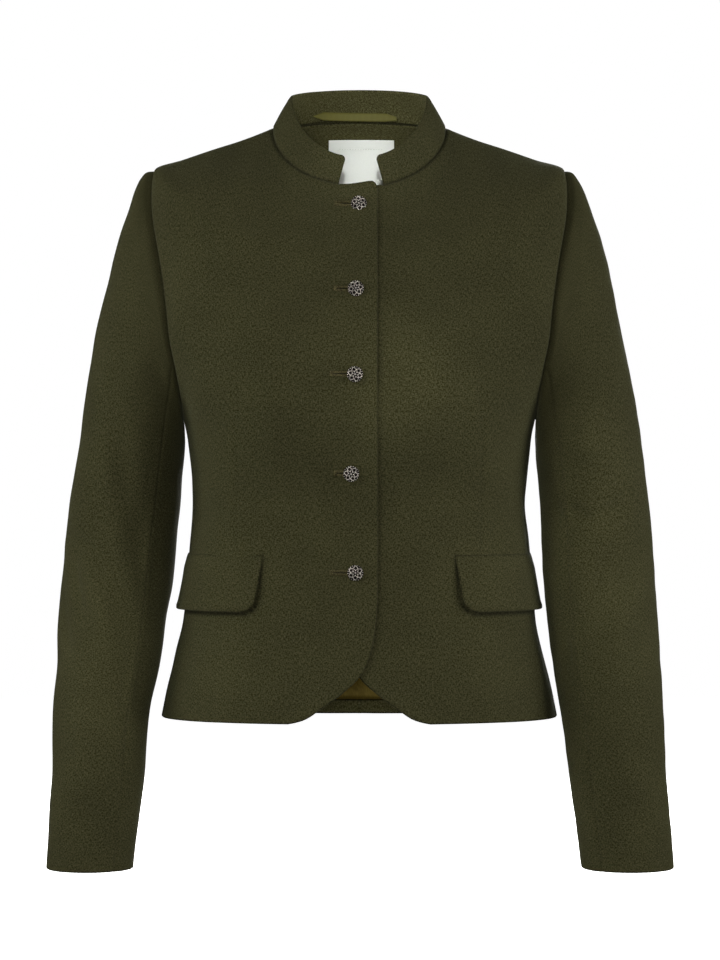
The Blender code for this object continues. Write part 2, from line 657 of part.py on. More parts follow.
def neck_seam(side):
    # From the collar's end on this side round to the centre back, with the collar's upper points.
    front, back = FRONTS[side], BACK
    turns = [math.atan2(p.x, -p.y) for p in front["points"][0][COLLAR_FIRST:]]
    turns += [math.atan2(p.x, -p.y) for p in back["points"][0][1:]]
    points = front["points"][0][COLLAR_FIRST:] + back["points"][0][1:]
    normals = front["normals"][0][COLLAR_FIRST:] + back["normals"][0][1:]
    ring = dict(zip(RING_COLUMNS, COLLAR_TOP))
    seam = []
    for k, (turn, point, normal) in enumerate(zip(turns, points, normals)):
        lean = COLLAR_END_LEAN * (1 - smoothstep(turns[0], turns[0] + 0.8, turn))
        upper = ring_point(ring, turn - lean)
        along = (points[min(k + 1, len(points) - 1)] - points[max(k - 1, 0)]).normalized()
        if k == len(points) - 1:
            along = Vector((-1.0, 0.0, 0.0))
        up_body = along.cross(normal).normalized()
        up_body = up_body if up_body.z > 0 else -up_body
        up_collar = upper - point
        up_collar = (up_collar - along * up_collar.dot(along)).normalized()
        seam.append({"point": point, "normal": normal, "upper": upper,
                     "across": (up_body + up_collar).normalized()})
    return seam


def edge_seams(grid, face, neck, first_neck):
    # Which seams each edge point of a body panel lies on.
    column = len(grid["points"][0]) - 1 if face == "front" else 0
    sign = -1 if face == "front" else 1
    seams = {}
    for i, down in enumerate(grid["rows"]):
        here = seams.setdefault((i, column), [])
        if down <= SHOULDER_POINT:
            entry = seam_at(SHOULDER, down)
            here.append((entry["point"], entry["across"], sign))
        if SHOULDER_POINT <= down <= UNDERARM:
            entry = seam_at(ARMHOLE[face], down)
            here.append((entry["point"], entry["across"], -1))
        if down >= UNDERARM:
            entry = seam_at(SIDE, down)
            here.append((entry["point"], entry["across"], sign))
        if face == "back":
            centre = grid["points"][i][-1]
            seams[(i, len(grid["points"][0]) - 1)] = [(centre, Vector((1.0, 0.0, 0.0)), 1)]
    for k, entry in enumerate(neck):
        seams.setdefault((0, first_neck + k), []).append((entry["point"], entry["across"], -1))
    return seams


def fronts_and_backs(neck):
    columns = len(FRONTS["left"]["points"][0])
    in_front = columns - COLLAR_FIRST
    thickness = [CLOTH + (HEM_TURN if down >= HEM_TURN_DOWN else 0.0) for down in BACK["rows"]]
    backs = {}
    for side in ("right", "left"):
        grid = FRONTS[side]
        holes = set()
        if side == "right":
            for upper, lower in shank_rows():
                holes.update((i, SHANK_COLUMN) for i, down in enumerate(grid["rows"])
                             if upper - 0.06 <= down < lower - 0.06)
        wall("front_" + side, "loden", grid["points"], grid["normals"], CLOTH,
             edge_seams(grid, "front", neck[side][:in_front], COLLAR_FIRST), side == "right", holes)
        backs[side] = wall("back_" + side, "loden", BACK["points"], BACK["normals"], lambda i: thickness[i],
                           edge_seams(BACK, "back", neck[side][in_front - 1:], 0), side == "right")
    return backs["left"]


# ---------- collar ----------

def collar(neck):
    # Columns run from the left end round the back to the right end.
    flip = Vector((-1.0, 1.0, 1.0))
    right = [{key: value * flip for key, value in entry.items()} for entry in neck["right"]]
    line = neck["left"] + right[-2::-1]
    count = len(line)
    grid = []
    for share in COLLAR_ROWS:
        row = []
        for k, entry in enumerate(line):
            crown = entry["normal"].cross(entry["across"]).cross(entry["across"])
            crown = crown if crown.dot(entry["normal"]) > 0 else -crown
            row.append(entry["point"].lerp(entry["upper"], share)
                       + crown.normalized() * COLLAR_CROWN * 4 * share * (1 - share))
        height = (line[0]["upper"] - line[0]["point"]).length
        cut = round_off(share * height - (height - COLLAR_CORNER), COLLAR_CORNER)
        for k, part in ((0, 1.0), (1, 0.4), (count - 1, 1.0), (count - 2, 0.4)):
            towards = row[min(k + 1, 2)] if k < 2 else row[max(k - 1, count - 3)]
            row[k] = row[k] + (towards - row[k]).normalized() * cut * part
        grid.append(row)
    seams = {(len(COLLAR_ROWS) - 1, k): [(entry["point"], entry["across"], 1)]
             for k, entry in enumerate(line)}
    return wall("collar", "loden", grid, grid_normals(grid), COLLAR_CLOTH, seams)


# ---------- pocket flaps ----------

def flap(side):
    start = turn_at_x(FLAP_TOP, FLAP_START)

    def turn_after(length):
        # The turn at a length round the body from the flap's front corner.
        turn, steps = start, 40
        for _ in range(steps):
            rate = (body_point(FLAP_TOP, turn + 0.005) - body_point(FLAP_TOP, turn - 0.005)).length / 0.01
            turn += length / steps / rate
        return turn

    height = FLAP_BOTTOM - FLAP_TOP
    inner, outer = [], []
    for share in FLAP_ROWS:
        corner = round_off(share * height - (height - FLAP_CORNER), FLAP_CORNER)
        low = FLAP_SLANT * share + corner
        high = FLAP_LENGTH - corner
        inner_line, outer_line = [], []
        for k in range(FLAP_COLUMNS + 1):
            length = low + (high - low) * k / FLAP_COLUMNS
            point, normal = body_frame(FLAP_TOP + height * share, turn_after(length))
            round_side = smoothstep(0.15, 0.65, length / FLAP_LENGTH)
            flare = FLAP_FLARE[0] + (FLAP_FLARE[1] - FLAP_FLARE[0]) * round_side
            under = point + normal * (GAP + flare * share ** 1.3)
            inner_line.append(under)
            outer_line.append(under + normal * FLAP_CLOTH)
        inner.append(inner_line)
        outer.append(outer_line)
    shell("flap_" + side, "loden", outer, inner, side == "right")


# ---------- buttons ----------

def buttons():
    # One turned mesh, a dome on a shank, shared by all five; its axis is +Z.
    lift = OVERLAP_LIFT + BUTTON_CLEAR
    profile = ((0.0, GAP), (SHANK_RADIUS, GAP), (SHANK_RADIUS, lift), (BUTTON_RADIUS - 0.7, lift),
               (BUTTON_RADIUS, lift + 0.8), (BUTTON_RADIUS - 0.3, lift + 2.2), (BUTTON_RADIUS - 1.7, lift + 3.8),
               (BUTTON_RADIUS - 3.9, lift + 4.7), (0.0, lift + BUTTON_DOME))
    form = bmesh.new()
    chain = [form.verts.new((radius * MM, 0.0, height * MM)) for radius, height in profile]
    edges = [form.edges.new(pair) for pair in zip(chain, chain[1:])]
    bmesh.ops.spin(form, geom=chain + edges, cent=(0, 0, 0), axis=(0, 0, 1), angle=math.tau, steps=18,
                   use_merge=True)
    bmesh.ops.remove_doubles(form, verts=form.verts, dist=1e-6)
    bmesh.ops.recalc_face_normals(form, faces=form.faces)
    mesh = bpy.data.meshes.new("button")
    form.to_mesh(mesh)
    form.free()
    mesh.shade_smooth()
    mesh.set_sharp_from_angle(angle=math.radians(50.0))
    mesh.materials.append(material("silver", "button"))
    for number, (z, x) in enumerate(BUTTONS, start=1):
        down = down_at_front(z)
        point, normal = body_frame(down, turn_at_x(down, x))
        made = bpy.data.objects.new(f"button_{number}", mesh)
        made.location = (-point.x * MM, point.y * MM, point.z * MM)
        outward = Vector((-normal.x, normal.y, normal.z))
        made.rotation_mode = "QUATERNION"
        made.rotation_quaternion = outward.to_track_quat("Z", "Y")
        bpy.context.scene.collection.objects.link(made)


# ---------- inside the neck and the hem ----------

def whole_back(first_row, last_row, first_column):
    # Both halves of the back between two rows, as one grid that runs on by increasing turn.
    chosen = [i for i, down in enumerate(BACK["rows"]) if first_row <= down <= last_row]
    flip = Vector((-1.0, 1.0, 1.0))
    grids = []
    for values in (BACK["points"], BACK["normals"]):
        grids.append([values[i][first_column:] + [v * flip for v in values[i][-2:first_column - 1:-1]]
                      for i in chosen])
    return grids


def inside_layer(name, kind, points, normals, depth, thickness):
    # A layer whose outer face lies this deep behind the surface.
    outer = inner_grid(points, normals, depth)
    shell(name, kind, outer, inner_grid(points, normals, depth + thickness))


def patch(points, normals, x_low, x_high, rows):
    # Part of a grid between two X places and two shares of its height, keeping its own lines.
    def cross_line(values, places, x):
        for j in range(len(places) - 1):
            a, b = places[j].x, places[j + 1].x
            if (a - x) * (b - x) <= 0 and a != b:
                return values[j].lerp(values[j + 1], (x - a) / (b - a))
        raise ValueError("a patch runs off its panel")

    def row_at(values, place):
        i = min(int(place), len(values) - 2)
        return [a.lerp(b, place - i) for a, b in zip(values[i], values[i + 1])]

    low, high = rows
    places = [low] + [i for i in range(len(points)) if low + 0.1 < i < high - 0.1] + [high]
    cut_points, cut_normals = [], []
    for place in places:
        line, normal_line = row_at(points, place), row_at(normals, place)
        inside = [j for j, p in enumerate(line) if x_low + 1.0 < p.x < x_high - 1.0]
        cut_points.append([cross_line(line, line, x_high)] + [line[j] for j in inside]
                          + [cross_line(line, line, x_low)])
        cut_normals.append([cross_line(normal_line, line, x_high)] + [normal_line[j] for j in inside]
                           + [cross_line(normal_line, line, x_low)])
    counts = min(len(line) for line in cut_points)
    return [line[:counts] for line in cut_points], [line[:counts] for line in cut_normals]


def inside_pieces():
    points, normals = whole_back(FACING_ROWS[0], FACING_ROWS[1], 1)
    depth = CLOTH + GAP
    inside_layer("back_facing", "loden", points, normals, depth, FACING_CLOTH)
    depth += FACING_CLOTH + GAP
    for name, size in (("label", LABEL), ("size_tag", SIZE_TAG)):
        cut = patch(points, normals, size["x"] - size["half_width"], size["x"] + size["half_width"], size["rows"])
        inside_layer(name, "label", *cut, depth, RIBBON_CLOTH)
        depth += RIBBON_CLOTH + GAP
    points, normals = whole_back(LINING_ROWS[0], LINING_ROWS[1], 1)
    inside_layer("back_lining", "lining", points, normals, CLOTH + GAP, LINING_CLOTH)


def hanger_loop():
    # A short ribbon across the centre back, level with the neck seam, bowed a little inwards.
    steps = 10
    ring = BODY.at(NECK)
    square = ring["square_back"]
    outer, inner = [], []
    for end in (1, -1):
        outer_line, inner_line = [], []
        for k in range(steps + 1):
            t = k / steps
            x = LOOP["x_left"] + (LOOP["x_right"] - LOOP["x_left"]) * t
            y_neck = ring["back"] * (1 - abs(x / ring["half_width"]) ** square) ** (1 / square)
            y = y_neck - LOOP["behind"] - LOOP["bow"] * math.sin(math.pi * t)
            z = LOOP["z"] + end * LOOP["height"] / 2
            outer_line.append(Vector((x, y, z)))
            inner_line.append(Vector((x, y - RIBBON_CLOTH, z)))
        outer.append(outer_line)
        inner.append(inner_line)
    shell("hanger_loop", "satin", outer, inner)


def main():
    for old in list(bpy.data.objects):
        bpy.data.objects.remove(old, do_unlink=True)
    armhole_across()
    neck = {side: neck_seam(side) for side in ("right", "left")}
    fronts_and_backs(neck)
    for side in ("right", "left"):
        sleeve(side)
        flap(side)
    collar(neck)
    buttons()
    inside_pieces()
    hanger_loop()


main()
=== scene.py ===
import math

import bmesh
import bpy
import numpy as np
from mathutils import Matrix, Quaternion, Vector


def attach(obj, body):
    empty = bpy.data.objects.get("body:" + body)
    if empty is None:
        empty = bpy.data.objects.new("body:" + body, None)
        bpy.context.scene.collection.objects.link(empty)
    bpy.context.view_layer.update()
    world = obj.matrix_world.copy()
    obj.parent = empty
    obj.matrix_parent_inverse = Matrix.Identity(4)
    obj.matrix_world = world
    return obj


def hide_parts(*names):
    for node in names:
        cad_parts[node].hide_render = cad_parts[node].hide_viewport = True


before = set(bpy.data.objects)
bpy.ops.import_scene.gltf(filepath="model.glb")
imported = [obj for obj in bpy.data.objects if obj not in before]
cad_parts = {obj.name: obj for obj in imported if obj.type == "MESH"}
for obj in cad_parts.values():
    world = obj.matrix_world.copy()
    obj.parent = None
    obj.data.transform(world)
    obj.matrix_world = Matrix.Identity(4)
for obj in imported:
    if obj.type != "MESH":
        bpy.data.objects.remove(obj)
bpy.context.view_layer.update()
print("frame loaded")

# Lengths are in millimetres here, and in metres in the meshes. A panel is worked out on its own
# side, where x grows away from the centre front, and is mirrored for the wearer's right.
mm = 0.001
far = 1e9


# Curves

def smoothCurve(xs, ys):
    # A monotone cubic through the points, held flat beyond both ends.
    xs, ys = np.array(xs, float), np.array(ys, float)
    steps = np.diff(xs)
    slopes = np.diff(ys) / steps
    tangents = np.zeros(len(xs))
    tangents[0], tangents[-1] = slopes[0], slopes[-1]
    for i in range(1, len(xs) - 1):
        before, after = slopes[i - 1], slopes[i]
        if before * after > 0:
            w0, w1 = 2 * steps[i] + steps[i - 1], steps[i] + 2 * steps[i - 1]
            tangents[i] = (w0 + w1) / (w0 / before + w1 / after)

    def value(x):
        x = np.clip(x, xs[0], xs[-1])
        i = np.clip(np.searchsorted(xs, x, side="right") - 1, 0, len(steps) - 1)
        t = (x - xs[i]) / steps[i]
        rise, fall = t * t * (3 - 2 * t), t * (1 - t) ** 2
        return (ys[i] * (1 - rise) + ys[i + 1] * rise
                + steps[i] * (tangents[i] * fall - tangents[i + 1] * t * t * (1 - t)))
    return value


def tableCurves(columns, rows):
    # One smooth curve of the first column for each of the others.
    rows = sorted(rows)
    return {name: smoothCurve([row[0] for row in rows], [row[i] for row in rows])
            for i, name in enumerate(columns) if i}


def smoothstep(low, high, x):
    t = np.clip((x - low) / (high - low), 0.0, 1.0)
    return t * t * (3 - 2 * t)


def hump(away, height, at, halfWidth):
    # A soft ridge that runs at this distance from a line.
    return height * np.exp(-((away - at) / halfWidth) ** 2)


def roundOff(depth, radius):
    # How far a rounded corner has cut in, at a depth into the corner's radius.
    inside = np.clip(depth / radius, 0.0, 1.0)
    return radius * (1 - np.sqrt(1 - inside * inside))


def unit(vectors):
    return vectors / np.maximum(np.linalg.norm(vectors, axis=-1, keepdims=True), 1e-9)


def runAlong(line):
    # Length from the start of a line to each of its points.
    return np.concatenate([[0.0], np.cumsum(np.linalg.norm(np.diff(line, axis=0), axis=1))])


# The body's surface: rings round it at stations measured down its side from the neck point. A turn
# goes round a ring from the centre front, 0, to the centre back, pi.

body = {
    "columns": ("down", "halfWidth", "front", "back", "zFront", "zSide", "zBack",
                "squareFront", "squareBack", "tilt"),
    "rings": (
        (0.0, 78.6, 72.0, 52.0, -58.0, 0.0, 14.0, 2.0, 2.0, 1.10),
        (26.0, 104.0, 80.0, 66.0, -73.0, -9.5, 0.0, 2.05, 2.05, 1.30),
        (52.0, 131.0, 88.0, 79.0, -88.0, -18.4, -17.0, 2.1, 2.1, 1.55),
        (78.0, 158.0, 95.0, 90.0, -103.0, -27.9, -36.0, 2.2, 2.15, 1.80),
        (104.0, 184.0, 101.0, 98.0, -118.0, -37.4, -56.0, 2.3, 2.2, 2.0),
        (134.0, 189.0, 107.5, 105.0, -140.0, -82.0, -86.0, 2.4, 2.3, 2.0),
        (168.0, 189.0, 114.0, 110.0, -168.0, -130.0, -126.0, 2.4, 2.35, 2.0),
        (204.0, 185.0, 120.0, 112.0, -200.0, -180.0, -174.0, 2.4, 2.35, 2.0),
        (232.0, 172.5, 122.0, 111.0, -230.0, -220.0, -218.0, 2.4, 2.35, 2.0),
        (248.0, 163.8, 121.7, 109.4, -247.0, -243.0, -242.0, 2.4, 2.35, 2.0),
        (262.0, 158.0, 120.5, 107.0, -262.0, -262.0, -262.0, 2.35, 2.35, 2.0),
        (276.0, 154.8, 118.0, 103.8, -276.0, -276.0, -276.0, 2.33, 2.33, 2.0),
        (290.0, 153.0, 115.0, 100.0, -290.0, -290.0, -290.0, 2.3, 2.3, 2.0),
        (318.0, 150.0, 109.0, 91.0, -318.0, -318.0, -318.0, 2.25, 2.3, 2.0),
        (336.0, 149.3, 106.5, 87.0, -336.0, -336.0, -336.0, 2.2, 2.3, 2.0),
        (370.0, 152.2, 104.5, 86.5, -370.0, -370.0, -370.0, 2.2, 2.3, 2.0),
        (406.0, 155.0, 105.0, 93.0, -406.0, -406.0, -406.0, 2.2, 2.3, 2.0),
        (442.0, 158.7, 107.0, 102.0, -442.0, -442.0, -443.0, 2.2, 2.3, 2.0),
        (478.0, 166.5, 110.0, 110.0, -478.0, -478.0, -480.0, 2.2, 2.3, 2.0),
        (504.0, 173.0, 112.5, 115.5, -504.0, -504.0, -508.0, 2.2, 2.3, 2.0),
        (528.0, 177.7, 115.0, 119.0, -528.0, -528.0, -534.0, 2.2, 2.3, 2.0),
    ),
    "shoulderPoint": 104.0,
    "underarm": 262.0,
    "hem": 528.0,
    "fineFrom": {"front": 462.0, "back": 505.0},   # where the rows near the hem get closer together
    "sideSeam": ((262.0, 88.0), (300.0, 84.0), (345.0, 81.0), (430.0, 83.0), (528.0, 85.0)),
    # Rounded forms: x, z, their spreads, how far they stand out, and the face
    "forms": ((82.0, -238.0, 52.0, 68.0, 10.5, "front"), (78.0, -150.0, 55.0, 70.0, 6.0, "back")),
    "formFade": 0.5,               # a form fades out at the sides, below this share of the depth
    "probe": (0.5, 0.004),         # small steps, down and in turn, that the normals are taken over
}
bodyCurves = tableCurves(body["columns"], body["rings"])
sideSeamTurn = smoothCurve(*zip(*body["sideSeam"]))


def ringPoint(ring, turn):
    side, ahead = np.sin(turn), np.cos(turn)
    inFront = ahead > 0
    depth = np.where(inFront, ring["front"], ring["back"])
    square = np.where(inFront, ring["squareFront"], ring["squareBack"])
    span = np.abs(side / ring["halfWidth"]) ** square + np.abs(ahead / depth) ** square
    reach = span ** (-1 / square)
    share = np.abs(reach * ahead) / depth
    zCentre = np.where(inFront, ring["zFront"], ring["zBack"])
    z = ring["zSide"] + (zCentre - ring["zSide"]) * share ** ring["tilt"]
    x, y = reach * side, -reach * ahead
    for formX, formZ, spreadX, spreadZ, out, face in body["forms"]:
        near = np.exp(-((np.abs(x) - formX) / spreadX) ** 2 - ((z - formZ) / spreadZ) ** 2)
        push = out * near * smoothstep(0.0, body["formFade"], share)
        y = np.where(inFront == (face == "front"), y + (-push if face == "front" else push), y)
    return np.stack([x, y, z], axis=-1)


def bodyPoint(down, turn):
    down, turn = np.broadcast_arrays(np.asarray(down, float), np.asarray(turn, float))
    return ringPoint({name: curve(down) for name, curve in bodyCurves.items()}, turn)


def bodyNormal(down, turn):
    step, swing = body["probe"]
    lower, upper = np.minimum(down + step, body["hem"]), np.maximum(down - step, 0.0)
    along = bodyPoint(lower, turn) - bodyPoint(upper, turn)
    around = bodyPoint(down, turn + swing) - bodyPoint(down, turn - swing)
    return unit(np.cross(along, around))


def findTurn(down, x, low, high, way):
    # The turn, between two limits in degrees, at which a row passes this x, found by halving. way
    # is 1 where x grows with the turn, and -1 where it falls.
    down, x = np.broadcast_arrays(np.asarray(down, float), np.asarray(x, float))
    low, high = np.full(x.shape, math.radians(low)), np.full(x.shape, math.radians(high))
    for _ in range(36):
        middle = (low + high) / 2
        short = (bodyPoint(down, middle)[..., 0] - x) * way < 0
        low, high = np.where(short, middle, low), np.where(short, high, middle)
    return (low + high) / 2


def turnAtX(down, x):
    return findTurn(down, x, -50.0, 89.0, 1)


def turnAtXBack(down, x):
    return findTurn(down, x, 90.0, 270.0, -1)


def downAtFront(z):
    # The station whose ring has this height at the centre front.
    downs = np.linspace(0.0, body["hem"], 2400)
    return np.interp(-np.asarray(z, float), -bodyCurves["zFront"](downs), downs)


# Seams of the body

armhole = {
    "shoulderTurn": 90.0,          # degrees; the shoulder seam lies at this turn
    "front": -18.5, "back": 17.0,  # how far it curves in over each panel, in degrees
    "widest": 0.60,                # share of the way down at which it is widest
    "upperCurve": 0.95,
    "lowerCurve": 2.4,
}


def armholeTurn(down, face):
    share = (down - body["shoulderPoint"]) / (body["underarm"] - body["shoulderPoint"])
    middle = armhole["shoulderTurn"] + (sideSeamTurn(body["underarm"]) - armhole["shoulderTurn"]) * share
    widest = armhole["widest"]
    upper = np.clip(1 - (1 - share / widest) ** 2, 0.0, 1.0) ** armhole["upperCurve"]
    below = np.clip((share - widest) / (1 - widest), 0.0, 1.0) ** armhole["lowerCurve"]
    lower = np.clip(1 - below, 0.0, 1.0) ** 0.5
    return np.radians(middle + armhole[face] * np.where(share < widest, upper, lower))


def armholeDowns(face, count):
    # Stations that divide one side of the armhole evenly, from the shoulder point down.
    span = body["underarm"] - body["shoulderPoint"]
    downs = body["shoulderPoint"] + span * (1 - np.cos(np.linspace(0.0, math.pi, 401))) / 2
    run = runAlong(bodyPoint(downs, armholeTurn(downs, face)))
    return np.interp(np.linspace(0.0, run[-1], count + 1), run, downs)


class Seam:
    # The line two pieces share, with the way its groove is pressed in: depth, half width, and the
    # normal midway between its pieces, along which both of their edges move.
    def __init__(self, line, normals, depth, width):
        self.line, self.normals = line, normals
        self.depth, self.width = depth, width


seamForm = {
    "plain": (0.5, 1.7),           # depth and half width
    "sleeve": (0.5, 1.6),
    "neck": (1.5, 1.6),
    "armholeDepth": (0.25, 0.75),  # at the shoulder point, and what is added below it
    "armholeFade": 60.0,           # over this length
    "armholeWidth": 2.0,
    "share": 2.5,                  # half width of the strip whose normals turn to the seam's own
}


def bodySeam(down, turn, depth, width):
    return Seam(bodyPoint(down, turn), bodyNormal(down, turn), depth, width)


shoulderPoint = body["shoulderPoint"]
shoulderDowns = np.linspace(0.0, shoulderPoint, 40)
sideDowns = np.linspace(body["underarm"], body["hem"], 90)
seams = {
    "shoulder": bodySeam(shoulderDowns, math.radians(armhole["shoulderTurn"]), *seamForm["plain"]),
    "side": bodySeam(sideDowns, np.radians(sideSeamTurn(sideDowns)), *seamForm["plain"]),
    "centreBack": bodySeam(np.linspace(0.0, body["hem"], 150), math.pi, *seamForm["plain"]),
}
for face in ("front", "back"):
    downs = armholeDowns(face, 120)
    shallow, added = seamForm["armholeDepth"]
    depth = shallow + added * smoothstep(shoulderPoint, shoulderPoint + seamForm["armholeFade"], downs)
    seam = bodySeam(downs, armholeTurn(downs, face), depth, seamForm["armholeWidth"])
    seams["armhole" + face.capitalize()] = seam


def rowEnd(downs, face):
    # The turn at which each row of a body panel meets its shoulder, armhole or side seam.
    turns = np.where(downs <= body["shoulderPoint"], math.radians(armhole["shoulderTurn"]),
                     np.radians(sideSeamTurn(downs)))
    inHole = (downs > body["shoulderPoint"]) & (downs < body["underarm"])
    return np.where(inHole, armholeTurn(downs, face), turns)


# Grids of points, and the relief pressed into them

gridSteps = {
    "nearEdge": (0.0, 0.35, 0.8, 1.4, 2.2, 3.3, 4.9, 7.5),   # stations counted in from an edge
    "rowStep": 3.6,
    "fineRowStep": 1.9,
    "armholeSteps": 52,
    "hemOver": 0.15,               # the rows run on past the hem by this, and stop at it
    "least": 0.02,
    "measured": 260,               # points that a row's length is measured with
}


def endRows(first, last, step, atStart=False, atEnd=False):
    # Stations from first to last, closer together at an end that is a seam or a free edge.
    near = np.array(gridSteps["nearEdge"])
    low = first + near if atStart else np.array([first])
    high = last - near[::-1] if atEnd else np.array([last])
    count = max(int(round((high[0] - low[-1]) / step)), 1)
    return np.concatenate([low, np.linspace(low[-1], high[0], count + 1)[1:-1], high])


def bodyRows(face):
    fineFrom = body["fineFrom"][face]
    rows = np.concatenate([
        endRows(0.0, body["shoulderPoint"], gridSteps["rowStep"], atStart=True),
        armholeDowns(face, gridSteps["armholeSteps"])[1:],
        endRows(body["underarm"], fineFrom, gridSteps["rowStep"])[1:],
        endRows(fineFrom, body["hem"] + gridSteps["hemOver"], gridSteps["fineRowStep"], atEnd=True)[1:],
    ])
    keep = np.concatenate([[True], np.diff(rows) > gridSteps["least"]])
    return np.minimum(rows[keep], body["hem"])


def spreadGrid(pointAt, rows, first, last, count):
    # Points spread along each row between two turns, closer together near its ends. Returns the
    # turns, and each point's distance along its row.
    near = np.array(gridSteps["nearEdge"])
    turns, runs = [], []
    for row, start, end in zip(rows, first, last):
        fine = np.linspace(start, end, gridSteps["measured"])
        run = runAlong(pointAt(row, fine))
        high = run[-1] - near[::-1]
        places = np.concatenate([near, np.linspace(near[-1], high[0], count + 2)[1:-1], high])
        turns.append(np.interp(places, run, fine))
        runs.append(places)
    return np.array(turns), np.array(runs)


def gridNormals(grid):
    # Outward normals of a grid whose rows run down and whose columns run by increasing turn.
    along = np.gradient(grid, axis=0)
    around = np.gradient(grid, axis=1)
    return unit(np.cross(along, around))


def nearestOn(points, line):
    # The distance from each point to the nearest place on a line of points, and that place, counted
    # in points from the line's start.
    flat = points.reshape(-1, 3)
    best = np.full(len(flat), far)
    place = np.zeros(len(flat))
    for i, (a, b) in enumerate(zip(line, line[1:])):
        ab = b - a
        t = np.clip((flat - a) @ ab / max(ab @ ab, 1e-9), 0.0, 1.0)
        gap = flat - a - t[:, None] * ab
        apart = np.einsum("ij,ij->i", gap, gap)
        place = np.where(apart < best, i + t, place)
        best = np.minimum(best, apart)
    return np.sqrt(best).reshape(points.shape[:-1]), place.reshape(points.shape[:-1])


def lineDistance(points, line):
    return nearestOn(points, line)[0]


def valueOn(place, values):
    # The values given at a line's points, at places along it.
    if values.ndim == 1:
        return np.interp(place, np.arange(len(values)), values)
    return np.stack([valueOn(place, values[:, axis]) for axis in range(values.shape[1])], axis=-1)


def foldDepth(place, folds, atEnds):
    # Depth of soft folds on a flat map, each given as the two ends of its line, its half width and
    # its depth. A negative depth is a ridge. At its ends a fold keeps this share of its depth.
    depth = np.zeros(place.shape[:-1])
    for ax, az, bx, bz, halfWidth, deep in folds:
        a, ab = np.array([ax, az]), np.array([bx - ax, bz - az])
        t = np.clip((place - a) @ ab / (ab @ ab), 0.0, 1.0)
        away = np.linalg.norm(place - a - t[..., None] * ab, axis=-1) / halfWidth
        depth += deep * np.exp(-away * away) * (atEnds + (1 - atEnds) * np.sin(math.pi * t))
    return depth


def troughs(points, folds):
    # The same seen from the front or the back: a place is its x and z.
    return foldDepth(np.stack([np.abs(points[..., 0]), points[..., 2]], axis=-1), folds, 0.3)


def rolling(points, size, amount, seed, side="right"):
    # A gentle unevenness with waves of about this size, different on the wearer's two sides.
    random = np.random.RandomState(seed + (side == "left"))
    height = np.zeros(points.shape[:-1])
    for _ in range(6):
        direction = unit(random.normal(size=3)) / (size * random.uniform(0.7, 1.4))
        height += np.sin(points @ direction * math.tau + random.uniform(0, math.tau))
    return height * amount / 6


def addObject(name, data):
    made = bpy.data.objects.new(name, data)
    bpy.context.scene.collection.objects.link(made)
    return made


def meshOf(name, form, *finishes):
    mesh = bpy.data.meshes.new(name)
    form.to_mesh(mesh)
    form.free()
    for finish in finishes:
        mesh.materials.append(finish)
    return mesh


def pieceFromGrids(name, outer, inner, finishes, inside=None, uv=None, mirrored=False, pressed=None):
    # A closed cloth piece between two grids. The outer face and the rim take the first of its
    # finishes, and inside numbers the one that each cell of the inner face takes. pressed is
    # how dark each point is painted: a painted shade, as in a seam, where the nap also lies flat.
    rows, columns = outer.shape[:2]
    count = rows * columns
    points = np.concatenate([outer.reshape(-1, 3), inner.reshape(-1, 3)]) * mm
    if mirrored:
        points[:, 0] *= -1
    a = (np.arange(rows - 1)[:, None] * columns + np.arange(columns - 1)).reshape(-1)
    quads = np.stack([a, a + columns, a + columns + 1, a + 1], axis=1)
    rim = np.concatenate([
        np.arange(columns), np.arange(1, rows) * columns + columns - 1,
        (rows - 1) * columns + np.arange(columns - 2, -1, -1), np.arange(rows - 2, 0, -1) * columns])
    ahead = np.roll(rim, -1)
    sides = np.stack([rim, ahead, ahead + count, rim + count], axis=1)
    faces = np.concatenate([quads, quads[:, ::-1] + count, sides])
    if mirrored:
        faces = faces[:, ::-1]
    mesh = bpy.data.meshes.new(name)
    mesh.from_pydata(points.tolist(), [], faces.tolist())
    for finish in finishes:
        mesh.materials.append(finish)
    if inside is not None:
        picked = np.zeros(len(faces), int)
        picked[len(quads):2 * len(quads)] = inside[:-1, :-1].reshape(-1)
        mesh.polygons.foreach_set("material_index", picked)
    if uv is not None:
        both = np.concatenate([uv.reshape(-1, 2), uv.reshape(-1, 2)])
        loops = np.zeros(len(mesh.loops), int)
        mesh.loops.foreach_get("vertex_index", loops)
        mesh.uv_layers.new(name="cloth").data.foreach_set("uv", both[loops].reshape(-1))
    if pressed is not None:
        both = np.concatenate([pressed.reshape(-1), pressed.reshape(-1) * loden["innerShadeAndNap"]])
        mesh.attributes.new("pressed", "FLOAT", "POINT").data.foreach_set("value", both)
    mesh.shade_smooth()
    return addObject(name, mesh)


def gridArea(grid):
    diagonals = np.cross(grid[1:, 1:] - grid[:-1, :-1], grid[1:, :-1] - grid[:-1, 1:])
    return float(np.linalg.norm(diagonals, axis=-1).sum() / 2)


def declareCloth(piece, grid, nodeNames, turned=0.0):
    # The piece stands for its nodes, and its cut is measured from its own outer face. A narrow tape's
    # cut also has what is turned under along it.
    width = max(float(runAlong(line)[-1]) for line in grid)
    length = max(float(runAlong(line)[-1]) for line in grid.transpose(1, 0, 2)) + turned
    area = gridArea(grid) + turned * width
    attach(piece, "root")
    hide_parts(*nodeNames)
    print(f"{piece.name}: {width:.0f} x {length:.0f} mm, {area / 1e6:.4f} m2")


# Shader maths

